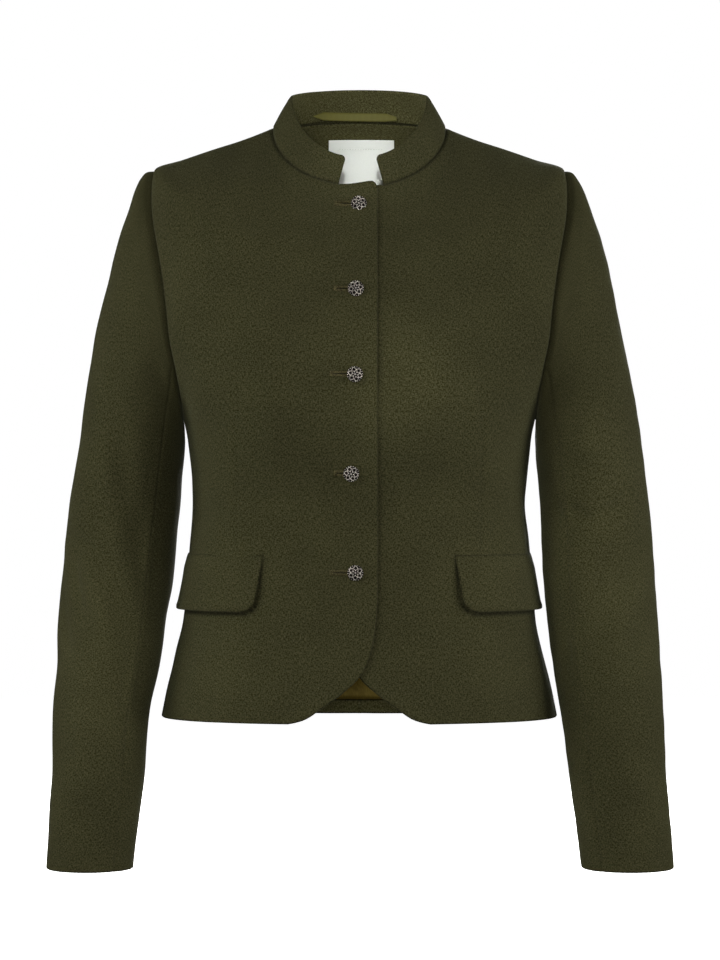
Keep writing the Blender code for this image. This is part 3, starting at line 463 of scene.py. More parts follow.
class Wire:
    # A socket in a material. Arithmetic on it adds Math nodes.
    def __init__(self, finish, socket):
        self.finish, self.socket = finish, socket

    def maths(self, operation, first, second):
        return self.finish.node("ShaderNodeMath", {"operation": operation}, {0: first, 1: second})

    def __add__(self, other):
        return self.maths("ADD", self, other)

    def __sub__(self, other):
        return self.maths("SUBTRACT", self, other)

    def __rsub__(self, other):
        return self.maths("SUBTRACT", other, self)

    def __mul__(self, other):
        return self.maths("MULTIPLY", self, other)

    __radd__ = __add__
    __rmul__ = __mul__


class Finish:
    # One material: a Principled shader with its constants, and the nodes that feed it.
    def __init__(self, name, **constants):
        self.material = bpy.data.materials.new(name)
        self.material.use_nodes = True
        self.tree = self.material.node_tree
        self.shader = self.tree.nodes["Principled BSDF"]
        for label, value in constants.items():
            self.shader.inputs[label.replace("_", " ")].default_value = value

    def node(self, kind, settings=None, sockets=None, output=0):
        made = self.tree.nodes.new(kind)
        for label, value in (settings or {}).items():
            setattr(made, label, value)
        for label, value in (sockets or {}).items():
            self.feed(made.inputs[label], value)
        return Wire(self, made.outputs[output])

    def feed(self, socket, value):
        if isinstance(value, Wire):
            self.tree.links.new(value.socket, socket)
        elif socket.type == "RGBA" and len(value) == 3:
            socket.default_value = (*value, 1.0)
        else:
            socket.default_value = value

    def mix(self, factor, first, second):
        # Colours go through Mix: its colour sockets are 6 and 7, and its colour output is 2.
        return self.node("ShaderNodeMix", {"data_type": "RGBA"}, {0: factor, 6: first, 7: second}, output=2)

    def vector(self, operation, sockets, output=0):
        return self.node("ShaderNodeVectorMath", {"operation": operation}, sockets, output)

    def place(self, kind):
        # Object coordinates count in metres, and Generated ones run from 0 to 1 over the piece's box.
        return self.node("ShaderNodeTexCoord", output=kind)

    def clothPlace(self, across=1.0, down=1.0):
        # The cloth's own coordinates in millimetres, stretched by two factors.
        place = self.node("ShaderNodeUVMap", {"uv_map": "cloth"})
        return self.vector("MULTIPLY", {0: place, 1: (across, down, 1.0)})

    def waves(self, direction, pitch, distortion, detail, detailScale):
        # Bands of this pitch on the cloth, with an uneven edge. At scale 1 Blender's own are 0.314
        # apart, and the diagonal ones 0.444.
        scale = (0.444 if direction == "DIAGONAL" else 0.314) / pitch
        return self.node("ShaderNodeTexWave", {"wave_type": "BANDS", "bands_direction": direction},
                         {"Vector": self.clothPlace(), "Scale": scale, "Distortion": distortion,
                          "Detail": detail, "Detail Scale": detailScale}, output=1)

    def noise(self, place, size, detail=2.0, roughness=0.5):
        return self.node("ShaderNodeTexNoise", None,
                         {"Vector": place, "Scale": 1.0 / size, "Detail": detail, "Roughness": roughness})

    def range(self, value, low, high, toLow=0.0, toHigh=1.0):
        return self.node("ShaderNodeMapRange", {"interpolation_type": "SMOOTHSTEP"},
                         {0: value, 1: low, 2: high, 3: toLow, 4: toHigh})

    def bump(self, height, strength, distance):
        return self.node("ShaderNodeBump", None,
                         {"Height": height, "Strength": strength, "Distance": distance})

    def connect(self, **links):
        for label, value in links.items():
            self.feed(self.shader.inputs[label.replace("_", " ")], value)
        return self.material


loden = {
    "dark": (0.0140, 0.0133, 0.0033),
    "light": (0.0485, 0.0460, 0.0200),
    "fleck": (0.100, 0.096, 0.053),
    "yarn": 0.75,            # width of a yarn, mm
    "slub": 3.1,             # length of a fibre bundle over its width
    "twill": 5.4,            # pitch of the faint diagonal ribs, mm
    "pick": 2.7,             # pitch of the faint rows across, mm
    "cloud": 46.0,           # size of the slow changes of tone, mm
    "clouds": (0.93, 1.07),  # how dark and how pale they go
    "shares": (0.43, 0.43, 0.126, 0.006, 0.008),   # of warp, weft, grain, twill and picks in the tone
    "blend": (0.435, 0.565),
    "kemp": 1.5,             # size of a fleck, mm
    "flecks": (0.64, 0.72),
    "fleckShare": 0.35,
    "pressed": 0.46,         # how much darker the cloth is painted in a seam, as painted shade where the nap also lies flat
    "innerShadeAndNap": 0.3,     # share of that on its inner side
    "bump": (0.35, 0.3),     # strength, and height in mm
    "insidePaintedLight": 1.9,       # the same cloth is painted paler inside the neck and at the hem's turning, as painted light
    "hemPaintedLight": 1.75,
}


def makeLoden(name, tone=1.0):
    # Fulled wool: crossed fibre bundles of mixed greens, pale kemp flecks and a short nap.
    finish = Finish(name, Roughness=0.95, Specular_IOR_Level=0.08, Sheen_Weight=0.06, Sheen_Roughness=0.5,
                    Sheen_Tint=(0.60, 0.62, 0.36, 1.0))
    yarn, slub = loden["yarn"], loden["slub"]
    warp = finish.noise(finish.clothPlace(1.0, 1 / slub), yarn, 2.0, 0.7)
    weft = finish.noise(finish.clothPlace(1 / slub, 1.0), yarn * 0.9, 2.0, 0.7)
    grain = finish.noise(finish.clothPlace(), yarn * 0.7, 2.0, 0.6)
    cloud = finish.noise(finish.clothPlace(), loden["cloud"], 2.0, 0.5)
    kemp = finish.noise(finish.clothPlace(1.0, 0.6), loden["kemp"], 1.0, 0.5)
    ribs = finish.waves("DIAGONAL", loden["twill"], 2.4, 2.0, 1.6)
    picks = finish.waves("Y", loden["pick"], 3.0, 2.0, 1.2)
    ofWarp, ofWeft, ofGrain, ofRibs, ofPicks = loden["shares"]
    blend = warp * ofWarp + weft * ofWeft + grain * ofGrain + ribs * ofRibs + picks * ofPicks
    colour = finish.mix(finish.range(blend, *loden["blend"]), loden["dark"], loden["light"])
    flecks = finish.range(kemp, *loden["flecks"]) * loden["fleckShare"]
    colour = finish.mix(flecks, colour, loden["fleck"])
    # This attribute paints shade into the seams and onto turned edges, where the nap also lies flat, and a
    # painted shadow under the flaps and beside the top front's edge.
    pressed = finish.node("ShaderNodeAttribute", {"attribute_name": "pressed"}, output=2)
    low, high = loden["clouds"]
    # A tone over 1 is painted light: a paler copy of the same cloth.
    shade = finish.range(cloud, 0.25, 0.75, low * tone, high * tone) * (1.0 - pressed * loden["pressed"])
    toned = finish.vector("SCALE", {0: colour, "Scale": shade})
    height = warp * 0.5 + weft * 0.5 + grain * 0.5
    strength, high = loden["bump"]
    return finish.connect(Base_Color=toned, Normal=finish.bump(height, strength, high * mm))


lining = {
    "dark": (0.066, 0.048, 0.0075),
    "light": (0.165, 0.120, 0.0235),
    "thread": 0.28,                # width of a float, mm
    "cloud": 22.0,
    "floatShare": 0.45,            # of the floats in the tone; the clouds have the rest
}


def makeLining():
    # Old-gold satin: fine floats across, soft changes of tone and a smooth gloss.
    finish = Finish("oldGoldSatin", Roughness=0.5, Specular_IOR_Level=0.2,
                    Specular_Tint=(0.9, 0.7, 0.3, 1.0))
    floats = finish.noise(finish.clothPlace(1.0, 0.12), lining["thread"] * 2, 2.0)
    cloud = finish.noise(finish.clothPlace(), lining["cloud"], 2.0)
    share = lining["floatShare"]
    mixed = finish.range(floats * share + cloud * (1 - share), 0.3, 0.7)
    colour = finish.mix(mixed, lining["dark"], lining["light"])
    return finish.connect(Base_Color=colour, Normal=finish.bump(floats, 0.25, 0.08 * mm))


ribbon = {"dark": (0.066, 0.061, 0.008), "light": (0.145, 0.136, 0.024), "rib": 1.1}


def makeRibbon():
    # Olive grosgrain: upright ribs with a silky gloss.
    finish = Finish("oliveRibbon", Roughness=0.55, Specular_IOR_Level=0.2)
    ribs = finish.waves("X", ribbon["rib"], 0.6, 1.0, 1.0)
    grain = finish.noise(finish.clothPlace(), 0.7, 2.0)
    colour = finish.mix(ribs * 0.6 + grain * 0.4, ribbon["dark"], ribbon["light"])
    return finish.connect(Base_Color=colour, Normal=finish.bump(ribs, 0.5, 0.15 * mm))


tape = {
    "ground": (0.90, 0.93, 0.87),
    "shade": (0.84, 0.875, 0.81),
    "thread": 0.45,
    "tones": {"wovenTape": 1.0, "sizeTape": 0.92},
}


def makeTapeFinish(name):
    # Bare woven tape: a fine satin ground with a faint cross grain.
    finish = Finish(name, Roughness=0.7, Specular_IOR_Level=0.3)
    across = finish.noise(finish.clothPlace(0.2, 1.0), tape["thread"], 2.0)
    upright = finish.noise(finish.clothPlace(1.0, 0.2), tape["thread"], 2.0)
    weave = finish.range(across * 0.5 + upright * 0.5, 0.3, 0.7)
    colour = finish.mix(weave, tape["shade"], tape["ground"])
    toned = finish.vector("SCALE", {0: colour, "Scale": tape["tones"][name]})
    return finish.connect(Base_Color=toned, Normal=finish.bump(across, 0.3, 0.08 * mm))


threads = {
    "buttonholeThread": ((0.026, 0.022, 0.008), (0.090, 0.078, 0.030)),
    "labelThread": ((0.55, 0.58, 0.50), (0.72, 0.76, 0.68)),
    # painted shadow, for the buttonholes' cuts and the lining's lowest edge
    "paintedSlitShadow": ((0.004, 0.004, 0.002), (0.010, 0.009, 0.004)),
}


def makeThread(name):
    # Twisted thread, with a tone that changes from stitch to stitch. The painted shadow is made the same
    # way.
    finish = Finish(name, Roughness=0.7, Specular_IOR_Level=0.12)
    tone = finish.noise(finish.place("Object"), 0.9 * mm, 1.0)
    return finish.connect(Base_Color=finish.mix(finish.range(tone, 0.35, 0.65), *threads[name]))


silver = {
    "bright": (0.93, 0.86, 0.77),
    "warm": (0.26, 0.205, 0.165),
    "dull": (0.030, 0.025, 0.022),
    "hollow": (0.006, 0.005, 0.005),
    "smut": (0.022, 0.017, 0.014),
    "worn": (0.41, 0.81),          # where the worn silver starts to dull, and is all dull
    "rim": (0.42, 1.0),            # where the painted shade starts and ends, from the axis to the rim
    "rimShadeShare": 0.5,
    "rough": (0.34, 0.62),
}


def makeSilver():
    # Antiqued silver: bright where it is rubbed, warm and dull in patches.
    finish = Finish("antiqueSilver")
    place = finish.place("Object")
    wear = finish.noise(place, 2.2 * mm, 3.0, 0.6)
    grain = finish.noise(place, 0.35 * mm, 2.0)
    worn = finish.range(wear, *silver["worn"])
    colour = finish.mix(worn, silver["bright"], finish.mix(grain, silver["warm"], silver["dull"]))
    # The rim is painted darker, a painted shade that makes the dome read round.
    off = finish.vector("SUBTRACT", {0: finish.place("Generated"), 1: (0.5, 0.5, 0.5)})
    flat = finish.vector("MULTIPLY", {0: off, 1: (2.0, 0.0, 2.0)})
    fromAxis = finish.vector("LENGTH", {0: flat}, output=1)
    rim = finish.range(fromAxis, *silver["rim"])
    colour = finish.mix(rim * silver["rimShadeShare"], colour, silver["dull"])
    rough = finish.range(worn, 0.0, 1.0, *silver["rough"])
    return finish.connect(Base_Color=colour, Roughness=rough, Metallic=1.0 - worn * 0.35,
                          Normal=finish.bump(grain, 0.3, 0.05 * mm))


def makeHollows():
    # What lies between the wires: black tarnish without a gloss.
    finish = Finish("silverHollows", Roughness=0.8, Specular_IOR_Level=0.1)
    smut = finish.range(finish.noise(finish.place("Object"), 1.1 * mm, 3.0, 0.6), 0.4, 0.7)
    return finish.connect(Base_Color=finish.mix(smut, silver["hollow"], silver["smut"]))


lodenFinish = makeLoden("loden")
# Lit copies: the same loden painted paler as painted light, for inside the neck and the hem's turning.
insideLitFinish = makeLoden("lodenInsidePaintedLight", loden["insidePaintedLight"])
hemLitFinish = makeLoden("lodenHemPaintedLight", loden["hemPaintedLight"])
liningFinish = makeLining()
ribbonFinish = makeRibbon()
labelFinish = makeTapeFinish("wovenTape")
tagFinish = makeTapeFinish("sizeTape")
threadFinish = makeThread("buttonholeThread")
paleThreadFinish = makeThread("labelThread")
paintedShadowFinish = makeThread("paintedSlitShadow")
silverFinish = makeSilver()
tarnishFinish = makeHollows()
print("materials made")


# The sleeves' surface, which runs on from the armhole

sleeve = {
    "columns": ("row", "inRight", "inLeft", "zIn", "outRight", "outLeft", "zOut", "y", "deep"),
    "sections": (
        (0, 156.5, 156.5, -262.0, 184.0, 184.0, -37.4, -1.5, 55.0),
        (1, 156.7, 157.0, -264.5, 190.0, 190.0, -38.6, -1.5, 56.0),
        (2, 156.5, 157.4, -267.5, 196.3, 196.4, -44.6, -1.5, 57.0),
        (3, 156.3, 157.8, -271.0, 201.4, 202.6, -55.0, -1.5, 57.5),
        (4, 156.2, 158.0, -275.0, 207.0, 208.6, -71.8, -1.5, 58.0),
        (5, 156.2, 158.2, -279.5, 216.7, 217.6, -100.0, -1.0, 58.5),
        (6, 156.4, 158.5, -285.0, 226.2, 226.6, -136.0, -1.0, 58.5),
        (7, 156.9, 159.0, -292.0, 234.2, 234.2, -172.0, -0.5, 58.0),
        (8, 157.6, 159.8, -301.0, 241.0, 241.4, -208.0, 0.0, 57.5),
        (9, 158.6, 160.8, -312.0, 247.0, 247.6, -244.0, 1.0, 57.0),
        (10, 159.6, 162.0, -325.0, 252.2, 252.8, -280.0, 2.0, 56.0),
        (11, 161.2, 163.2, -341.0, 257.0, 257.6, -316.0, 3.0, 54.5),
        (12, 163.6, 164.0, -360.0, 262.0, 262.0, -350.0, 4.0, 53.0),
        (13, 166.0, 164.6, -380.0, 265.6, 264.2, -377.0, 4.0, 52.0),
        (14, 168.2, 165.4, -400.0, 267.5, 265.8, -400.0, 2.5, 51.0),
        (15, 170.0, 166.5, -420.0, 269.1, 267.1, -420.0, -0.5, 50.0),
        (16, 172.2, 168.2, -440.0, 270.4, 268.1, -440.0, -4.5, 48.5),
        (17, 175.2, 170.3, -459.0, 271.2, 268.7, -459.0, -9.0, 47.3),
        (18, 178.6, 172.7, -478.0, 271.5, 269.1, -478.0, -14.0, 46.2),
        (19, 182.2, 175.4, -497.0, 271.9, 269.9, -497.0, -19.5, 45.2),
        (20, 185.6, 178.2, -516.0, 272.1, 270.8, -516.0, -24.5, 44.3),
        (21, 188.2, 181.0, -536.0, 272.5, 271.9, -536.0, -30.0, 43.2),
        (22, 189.9, 183.4, -556.0, 273.1, 272.6, -556.0, -35.0, 42.1),
        (23, 191.4, 185.6, -577.0, 273.6, 273.1, -577.0, -40.0, 41.0),
        (24, 192.9, 188.4, -598.0, 274.1, 274.1, -598.0, -45.0, 40.0),
        (25, 194.7, 191.5, -619.0, 274.7, 275.2, -619.0, -49.5, 39.0),
        (26, 197.2, 193.8, -640.0, 275.3, 276.3, -640.0, -53.5, 38.3),
        (27, 199.8, 196.2, -658.5, 276.0, 277.2, -658.5, -56.5, 38.0),
    ),
    "capBlend": 8,
    "frontSeam": 3 / 11,     # share of the front armhole from the underarm up to the sleeve's front seam
    "backSeam": 5 / 11,      # and of the back armhole to its back seam
    "topParts": ("top_head", "top_upper", "top_elbow", "top_fore"),
    "topColumns": 76,
    "underColumns": 26,
    "rowStep": 0.19,
    "headRows": (0.0, 0.02, 0.045, 0.08, 0.13, 0.21, 0.33, 0.48, 0.65, 0.83),
    "cuffRows": (26.8, 26.87, 26.92, 26.955, 26.98, 27.0),
    "cuffBand": 24.0,
    "probe": (0.02, 0.01),         # small steps, in rows and in turn, that the normals are taken over
    "capRow": 0.15,                # where the cap's own normals are taken
    # Folds pressed into the solid sleeves as well: two ends as (section, degrees), half width, depth
    "creases": {
        "right": ((11.5, 120.0, 17.5, 62.0, 13.0, 3.2), (13.5, 170.0, 18.5, 128.0, 10.0, 2.4)),
        "left": ((17.0, 62.0, 12.5, 140.0, 14.0, 3.4), (14.0, 60.0, 11.5, 120.0, 9.0, 2.0)),
    },
    "creaseMap": (19.0, 0.85),     # a section and a degree on the creases' map, in mm
    "foldScale": 2.3,
    # Finer folds seen from the front: x, z of both ends, half width, depth
    "frontFolds": {
        "right": (
            (255, -383, 246, -443, 5.5, 1.5), (242, -392, 219, -456, 11, -1.9),
            (215, -270, 206, -333, 12, 1.9), (206, -333, 186, -411, 12, 2.0),
            (248, -515, 232, -556, 14, -1.6), (222, -120, 232, -180, 15, 0.8),
            (198, -470, 206, -520, 12, 1.0), (262, -366, 236, -378, 6, 1.6),
            (216, -600, 262, -612, 12, 0.8)),
        "left": (
            (198, -276, 200, -300, 15, -1.9), (169, -340, 208, -351, 8, 1.9),
            (208, -351, 240, -334, 8, 1.7), (198, -420, 230, -374, 8.5, 1.9),
            (235, -420, 226, -480, 12, -1.7), (244, -561, 235, -589, 12, -1.4),
            (187, -450, 190, -486, 12, 1.4), (222, -124, 230, -186, 15, 0.8),
            (214, -600, 262, -610, 12, 0.8)),
    },
    "backFolds": (
        (262, -392, 222, -380, 12, 1.4), (258, -420, 214, -426, 12, 1.2),
        (186, -300, 196, -360, 13, 1.4), (236, -470, 226, -540, 15, -1.4),
        (216, -150, 226, -230, 16, 1.0)),
    "rolling": ((78.0, 1.5, 51), (30.0, 0.5, 61)),   # size, amount and seed
    # The cap's ease: a soft roll just past the seam, and faint puckers, each with its height, its
    # distance from the seam and its half width. The puckers fade in between these two heights.
    "ease": (0.38, 7.0, 4.5),
    "pucker": (0.10, 5.0, 5.0),
    "puckers": 40.0,
    "puckerFade": (-200.0, -120.0),
    "calm": (16.0, 9.0),           # the folds fade out this near the armhole, and the other seams
    # how much painted shade lies along the long seams
    "seamShadeAndNap": 0.15,
    "lengthOfRow": 23.0,
}
sleeveCurves = tableCurves(sleeve["columns"], sleeve["sections"])
armLoop = np.concatenate([seams["armholeFront"].line[::-1], seams["armholeBack"].line[1:]])
loopHalf = len(seams["armholeFront"].line)


def loopTurn(points):
    # How far armhole points are round the sleeve: 0 at the underarm, a half turn at the top.
    low, axis = armLoop[0], armLoop[loopHalf - 1] - armLoop[0]
    share = np.clip((points - low) @ axis / (axis @ axis), 0.0, 1.0)
    return np.arccos(1 - 2 * share)


loopTurns = loopTurn(armLoop)
loopTurns[loopHalf:] = math.tau - loopTurns[loopHalf:]
loopTurns = np.maximum.accumulate(loopTurns)


def onLoop(turn):
    turn = np.mod(turn, math.tau)
    return np.stack([np.interp(turn, loopTurns, armLoop[:, axis]) for axis in range(3)], axis=-1)


def sleeveSection(side, row, turn):
    ring = {name: curve(row) for name, curve in sleeveCurves.items()}
    share = (1 - np.cos(turn)) / 2
    low, high = ring["in" + side.capitalize()], ring["out" + side.capitalize()]
    return np.stack([low + (high - low) * share, ring["y"] - ring["deep"] * np.sin(turn),
                     ring["zIn"] + (ring["zOut"] - ring["zIn"]) * share], axis=-1)


def sleevePoint(side, row, turn):
    # The cap keeps the armhole's own form, which fades into the sections further down.
    row, turn = np.broadcast_arrays(np.asarray(row, float), np.asarray(turn, float))
    fade = 1 - smoothstep(0.0, sleeve["capBlend"], row)
    offset = onLoop(turn) - sleeveSection(side, np.zeros(row.shape), turn)
    return sleeveSection(side, row, turn) + offset * fade[..., None]


def sleeveNormal(side, row, turn):
    step, swing = sleeve["probe"]
    along = sleevePoint(side, row + step, turn) - sleevePoint(side, np.maximum(row - step, 0.0), turn)
    around = sleevePoint(side, row, turn + swing) - sleevePoint(side, row, turn - swing)
    return unit(np.cross(along, around))


def shareArmhole():
    # The armhole's groove is pressed in midway between the body and the sleeve.
    cap = sleeveNormal("left", np.full(len(armLoop), sleeve["capRow"]), loopTurns)
    for name, part in (("armholeFront", cap[:loopHalf][::-1]), ("armholeBack", cap[loopHalf - 1:])):
        seams[name].normals = unit(unit(seams[name].normals) + part)


shareArmhole()


# Front panels

front = {
    "columns": 62,
    # Its edge past the centre front, and the cutaway round to the hem: z, x
    "edge": (
        (-528.0, 62.0), (-526.6, 55.0), (-523.8, 46.5), (-517.3, 36.4), (-511.0, 27.6),
        (-504.8, 18.9), (-497.2, 9.8), (-489.0, 1.2), (-477.3, -5.8), (-465.6, -10.0),
        (-454.0, -12.6), (-437.0, -14.8), (-415.0, -16.0), (-64.0, -16.2), (-60.5, -14.8), (-58.0, -11.5)),
    "lift": 2.5,               # the top front's face over the under front's
    "liftEnds": (24.0, 64.0),  # where that lift starts to fade, and ends
    "cornerRise": 3.5,         # how far its upper corner climbs
    "riseFrom": -8.0,          # x where that starts
    "riseDepth": 14.0,         # and how far down it reaches
    "cloth": 2.0,
    "edgeCloth": 2.7,          # thickness at the turned edges
    "edgeFade": 9.0,
    "edgeRoll": 1.2,
    "facingWidth": 72.0,
    "hemBand": 13.0,
    "neckBand": 26.0,
    "proud": (0.32, 3.6, 2.0),  # inside the turned edge the cloth swells: height, distance, half width
    "calm": 16.0,              # the folds fade out this near the seams
    "foldScale": 1.4,
    "rolling": ((88.0, 2.1, 11), (34.0, 0.45, 21)),
    "flapShadow": (1.3, 1.4, 1.3),  # painted shadow under a flap: how far below its edge, width, amount
    "lapShadow": (0.9, 1.6, 0.4),   # and beside the top front's edge
    # Soft folds: x, z of both ends, half width, depth
    "folds": {
        "right": (
            (148, -142, 126, -172, 9, -1.5), (140, -168, 118, -192, 8, 1.0), (44, -192, 48, -236, 26, -1.6),
            (4, -212, 2, -284, 11, 1.2), (150, -262, 120, -276, 10, 1.3), (142, -300, 104, -318, 12, 1.0),
            (70, -330, 128, -344, 13, 1.1), (60, -470, 78, -520, 22, -1.5), (126, -446, 138, -522, 16, 1.4),
            (24, -330, 40, -372, 14, 0.8), (96, -150, 60, -108, 18, 0.9)),
        "left": (
            (32, -182, 48, -226, 22, -1.9), (48, -226, 26, -268, 20, -1.5), (150, -250, 124, -268, 10, 1.4),
            (146, -288, 110, -300, 12, 1.1), (62, -322, 126, -334, 13, 1.1), (66, -462, 84, -520, 22, -1.5),
            (128, -440, 142, -520, 16, 1.4), (30, -356, 34, -420, 13, 0.7), (100, -152, 62, -110, 18, 0.9)),
    },
}
frontEdgeX = smoothCurve(*zip(*sorted(front["edge"])))
dart = {
    "ends": ((104.0, -222.0), (107.0, -380.0)),   # x, z
    "bow": 2.2,
    "groove": (0.75, 0.0, 1.9),    # height, distance from its line and half width
    "ridge": (0.35, 6.0, 4.0),     # the cloth swells beside it
    "fade": (-212.0, -262.0),      # z where it starts, and where it has its full depth
    # how much painted shade lies along the dart
    "napShade": 0.3,
}
collar = {
    # The ring of its upper edge, in the same columns as the body's rings
    "top": (0.0, 61.0, 60.0, 44.0, -31.0, 30.0, 40.5, 2.0, 2.0, 1.05),
    "end": {"right": 18.1, "left": 21.3},
    "endLean": math.radians(3.5),
    "leanReach": 0.8,
    "corner": 5.0,
    "cornerColumns": 10,
    "crown": 0.8,
    "cloth": 2.6,
    "edgeRoll": 1.25,
    "proud": (0.22, 4.0, 2.0),
    "calm": 12.0,
    "rolling": ((60.0, 0.7, 71), (26.0, 0.25, 72)),
    "grainLean": 0.35,             # how far its weave runs off the straight
    "columns": 96,
    "rows": 22,
}


def topLift(points, normals, down, side):
    # The wearer's right front lies on top and climbs towards its upper corner.
    if side != "right":
        return points
    x = points[..., 0]
    lifted = points + normals * (front["lift"] * (1 - smoothstep(*front["liftEnds"], x)))[..., None]
    across = 1 - smoothstep(front["riseFrom"], collar["end"][side], x)
    climb = across * (1 - smoothstep(0.0, front["riseDepth"], down))
    lifted[..., 2] += front["cornerRise"] * climb
    return lifted


def neckLine(side, count=120):
    # Round the neck from the collar's end on this side to the centre back.
    turns = np.linspace(turnAtX(0.0, collar["end"][side]), math.pi, count)
    return turns, topLift(bodyPoint(0.0, turns), bodyNormal(0.0, turns), 0.0, side)


def collarUpper(turns):
    lean = collar["endLean"] * (1 - smoothstep(turns[0], turns[0] + collar["leanReach"], turns))
    return ringPoint(dict(zip(body["columns"], collar["top"])), turns - lean)


def neckSeam(side):
    turns, line = neckLine(side)
    normals = bodyNormal(0.0, turns)
    # The collar's own normal leans back from the body's, and the seam's lies midway.
    along = unit(np.gradient(line, axis=0))
    face = np.cross(along, collarUpper(turns) - line)
    outward = np.sign(np.sum(face * normals, axis=-1, keepdims=True))
    return Seam(line, unit(unit(normals) + unit(face * outward)), *seamForm["neck"])


def pressSeams(points, normals, sewn):
    # The dip of the cloth into its seams, how far each point is from one, and the normals turned
    # towards the seams' own.
    dip = np.zeros(points.shape[:-1])
    apart = np.full(points.shape[:-1], far)
    turned = normals.copy()
    for seam in sewn:
        away, place = nearestOn(points, seam.line)
        depth = valueOn(place, seam.depth * np.ones(len(seam.line)))
        dip = np.maximum(dip, hump(away, depth, 0.0, seam.width))
        near = hump(away, 1.0, 0.0, seamForm["share"])[..., None]
        turned = unit(turned * (1 - near) + unit(valueOn(place, seam.normals)) * near)
        apart = np.minimum(apart, away)
    return dip, apart, turned


def freeEdge(points, lines, radius):
    # How far the face rolls in at a turned edge.
    roll = np.zeros(points.shape[:-1])
    for line in lines:
        roll = np.maximum(roll, roundOff(radius - lineDistance(points, line), radius))
    return roll


# Widths of the painted shade: in a seam, and as height, place and half width on a turned edge.
napShade = {"inSeam": 1.15, "onEdge": (0.55, 0.0, 0.9)}


def shadeAndNapAt(seamAway, edgeAway=far, amount=1.0):
    # Painted shade in a seam and, less, on the fold of a turned edge, where the nap also lies flat.
    return np.maximum(hump(seamAway, amount, 0.0, napShade["inSeam"]), hump(edgeAway, *napShade["onEdge"]))


def clothBehind(outer, roll, thickness, sewn=()):
    # The inner face, which rolls out to meet the outer one at a turned edge.
    normals = pressSeams(outer, gridNormals(outer), sewn)[2]
    return outer - normals * (thickness - 2 * roll)[..., None]


def frontGrid(side):
    downs = bodyRows("front")
    first = turnAtX(downs, frontEdgeX(bodyCurves["zFront"](downs)))
    turns, runs = spreadGrid(bodyPoint, downs, first, rowEnd(downs, "front"), front["columns"])
    down = np.broadcast_to(downs[:, None], turns.shape)
    points = topLift(bodyPoint(down, turns), bodyNormal(down, turns), down, side)
    uv = np.stack([points[:, :1, 0] + runs, -down], axis=-1)
    return points, uv


def dartLine():
    (ax, az), (bx, bz) = dart["ends"]
    t = np.linspace(0.0, 1.0, 60)
    downs = downAtFront(az + (bz - az) * t)
    x = ax + (bx - ax) * t + dart["bow"] * np.sin(math.pi * t)
    return bodyPoint(downs, turnAtX(downs, x))


flap = {
    "top": 381.5,                  # stations of its top and bottom edges
    "bottom": 432.0,
    "start": 83.5,                 # x of its upper front corner
    "length": 135.0,
    "slant": 6.5,
    "corner": 12.0,
    "flare": (1.2, 4.4),           # how far it stands off at its lower edge, in front and at the side
    "flareEnds": (0.15, 0.65),     # shares of its length between which the flare grows
    "kick": 2.2,
    "kickEnd": 0.7,
    "cloth": 2.6,
    "slit": (0.45, 0.55, 15.0),    # share of its cloth at the top edge, what is added, and over what
    "edgeRoll": 1.2,
    "dip": (0.7, 0.0, 1.7),        # the seam at its top edge
    "proud": (0.5, 3.6, 1.7),
    "gap": 0.3,
    "rolling": (52.0, 0.9, 81),
    "weaveStart": 40.0,
    "reach": 1.9,                  # radians of the body that its length is measured over
    "columns": 70,
    "rows": 26,
}


def flapPlaces(shares, across):
    # How far along the flap's top edge a place lies, and its turn and station on the body, from
    # its shares of the way down and across the flap.
    fine = np.linspace(0.0, flap["reach"], 1200) + float(turnAtX(flap["top"], flap["start"]))
    fineRun = runAlong(bodyPoint(flap["top"], fine))
    height = flap["bottom"] - flap["top"]
    corner = roundOff(shares * height - (height - flap["corner"]), flap["corner"])
    low = flap["slant"] * shares + corner
    lengths = low + (flap["length"] - corner - low) * across
    downs = flap["top"] + height * np.broadcast_to(shares, lengths.shape)
    return lengths, np.interp(lengths, fineRun, fine), downs


def flapOutline():
    # On the front: down the flap's front edge and along its lower edge.
    _, edgeTurns, edgeDowns = flapPlaces(np.linspace(0.0, 1.0, 60)[:, None], np.zeros(1))
    _, lowTurns, lowDowns = flapPlaces(np.ones((1, 1)), np.linspace(0.0, 1.0, 80))
    downs = np.concatenate([edgeDowns[:, 0], lowDowns[0]])
    return bodyPoint(downs, np.concatenate([edgeTurns[:, 0], lowTurns[0]]))


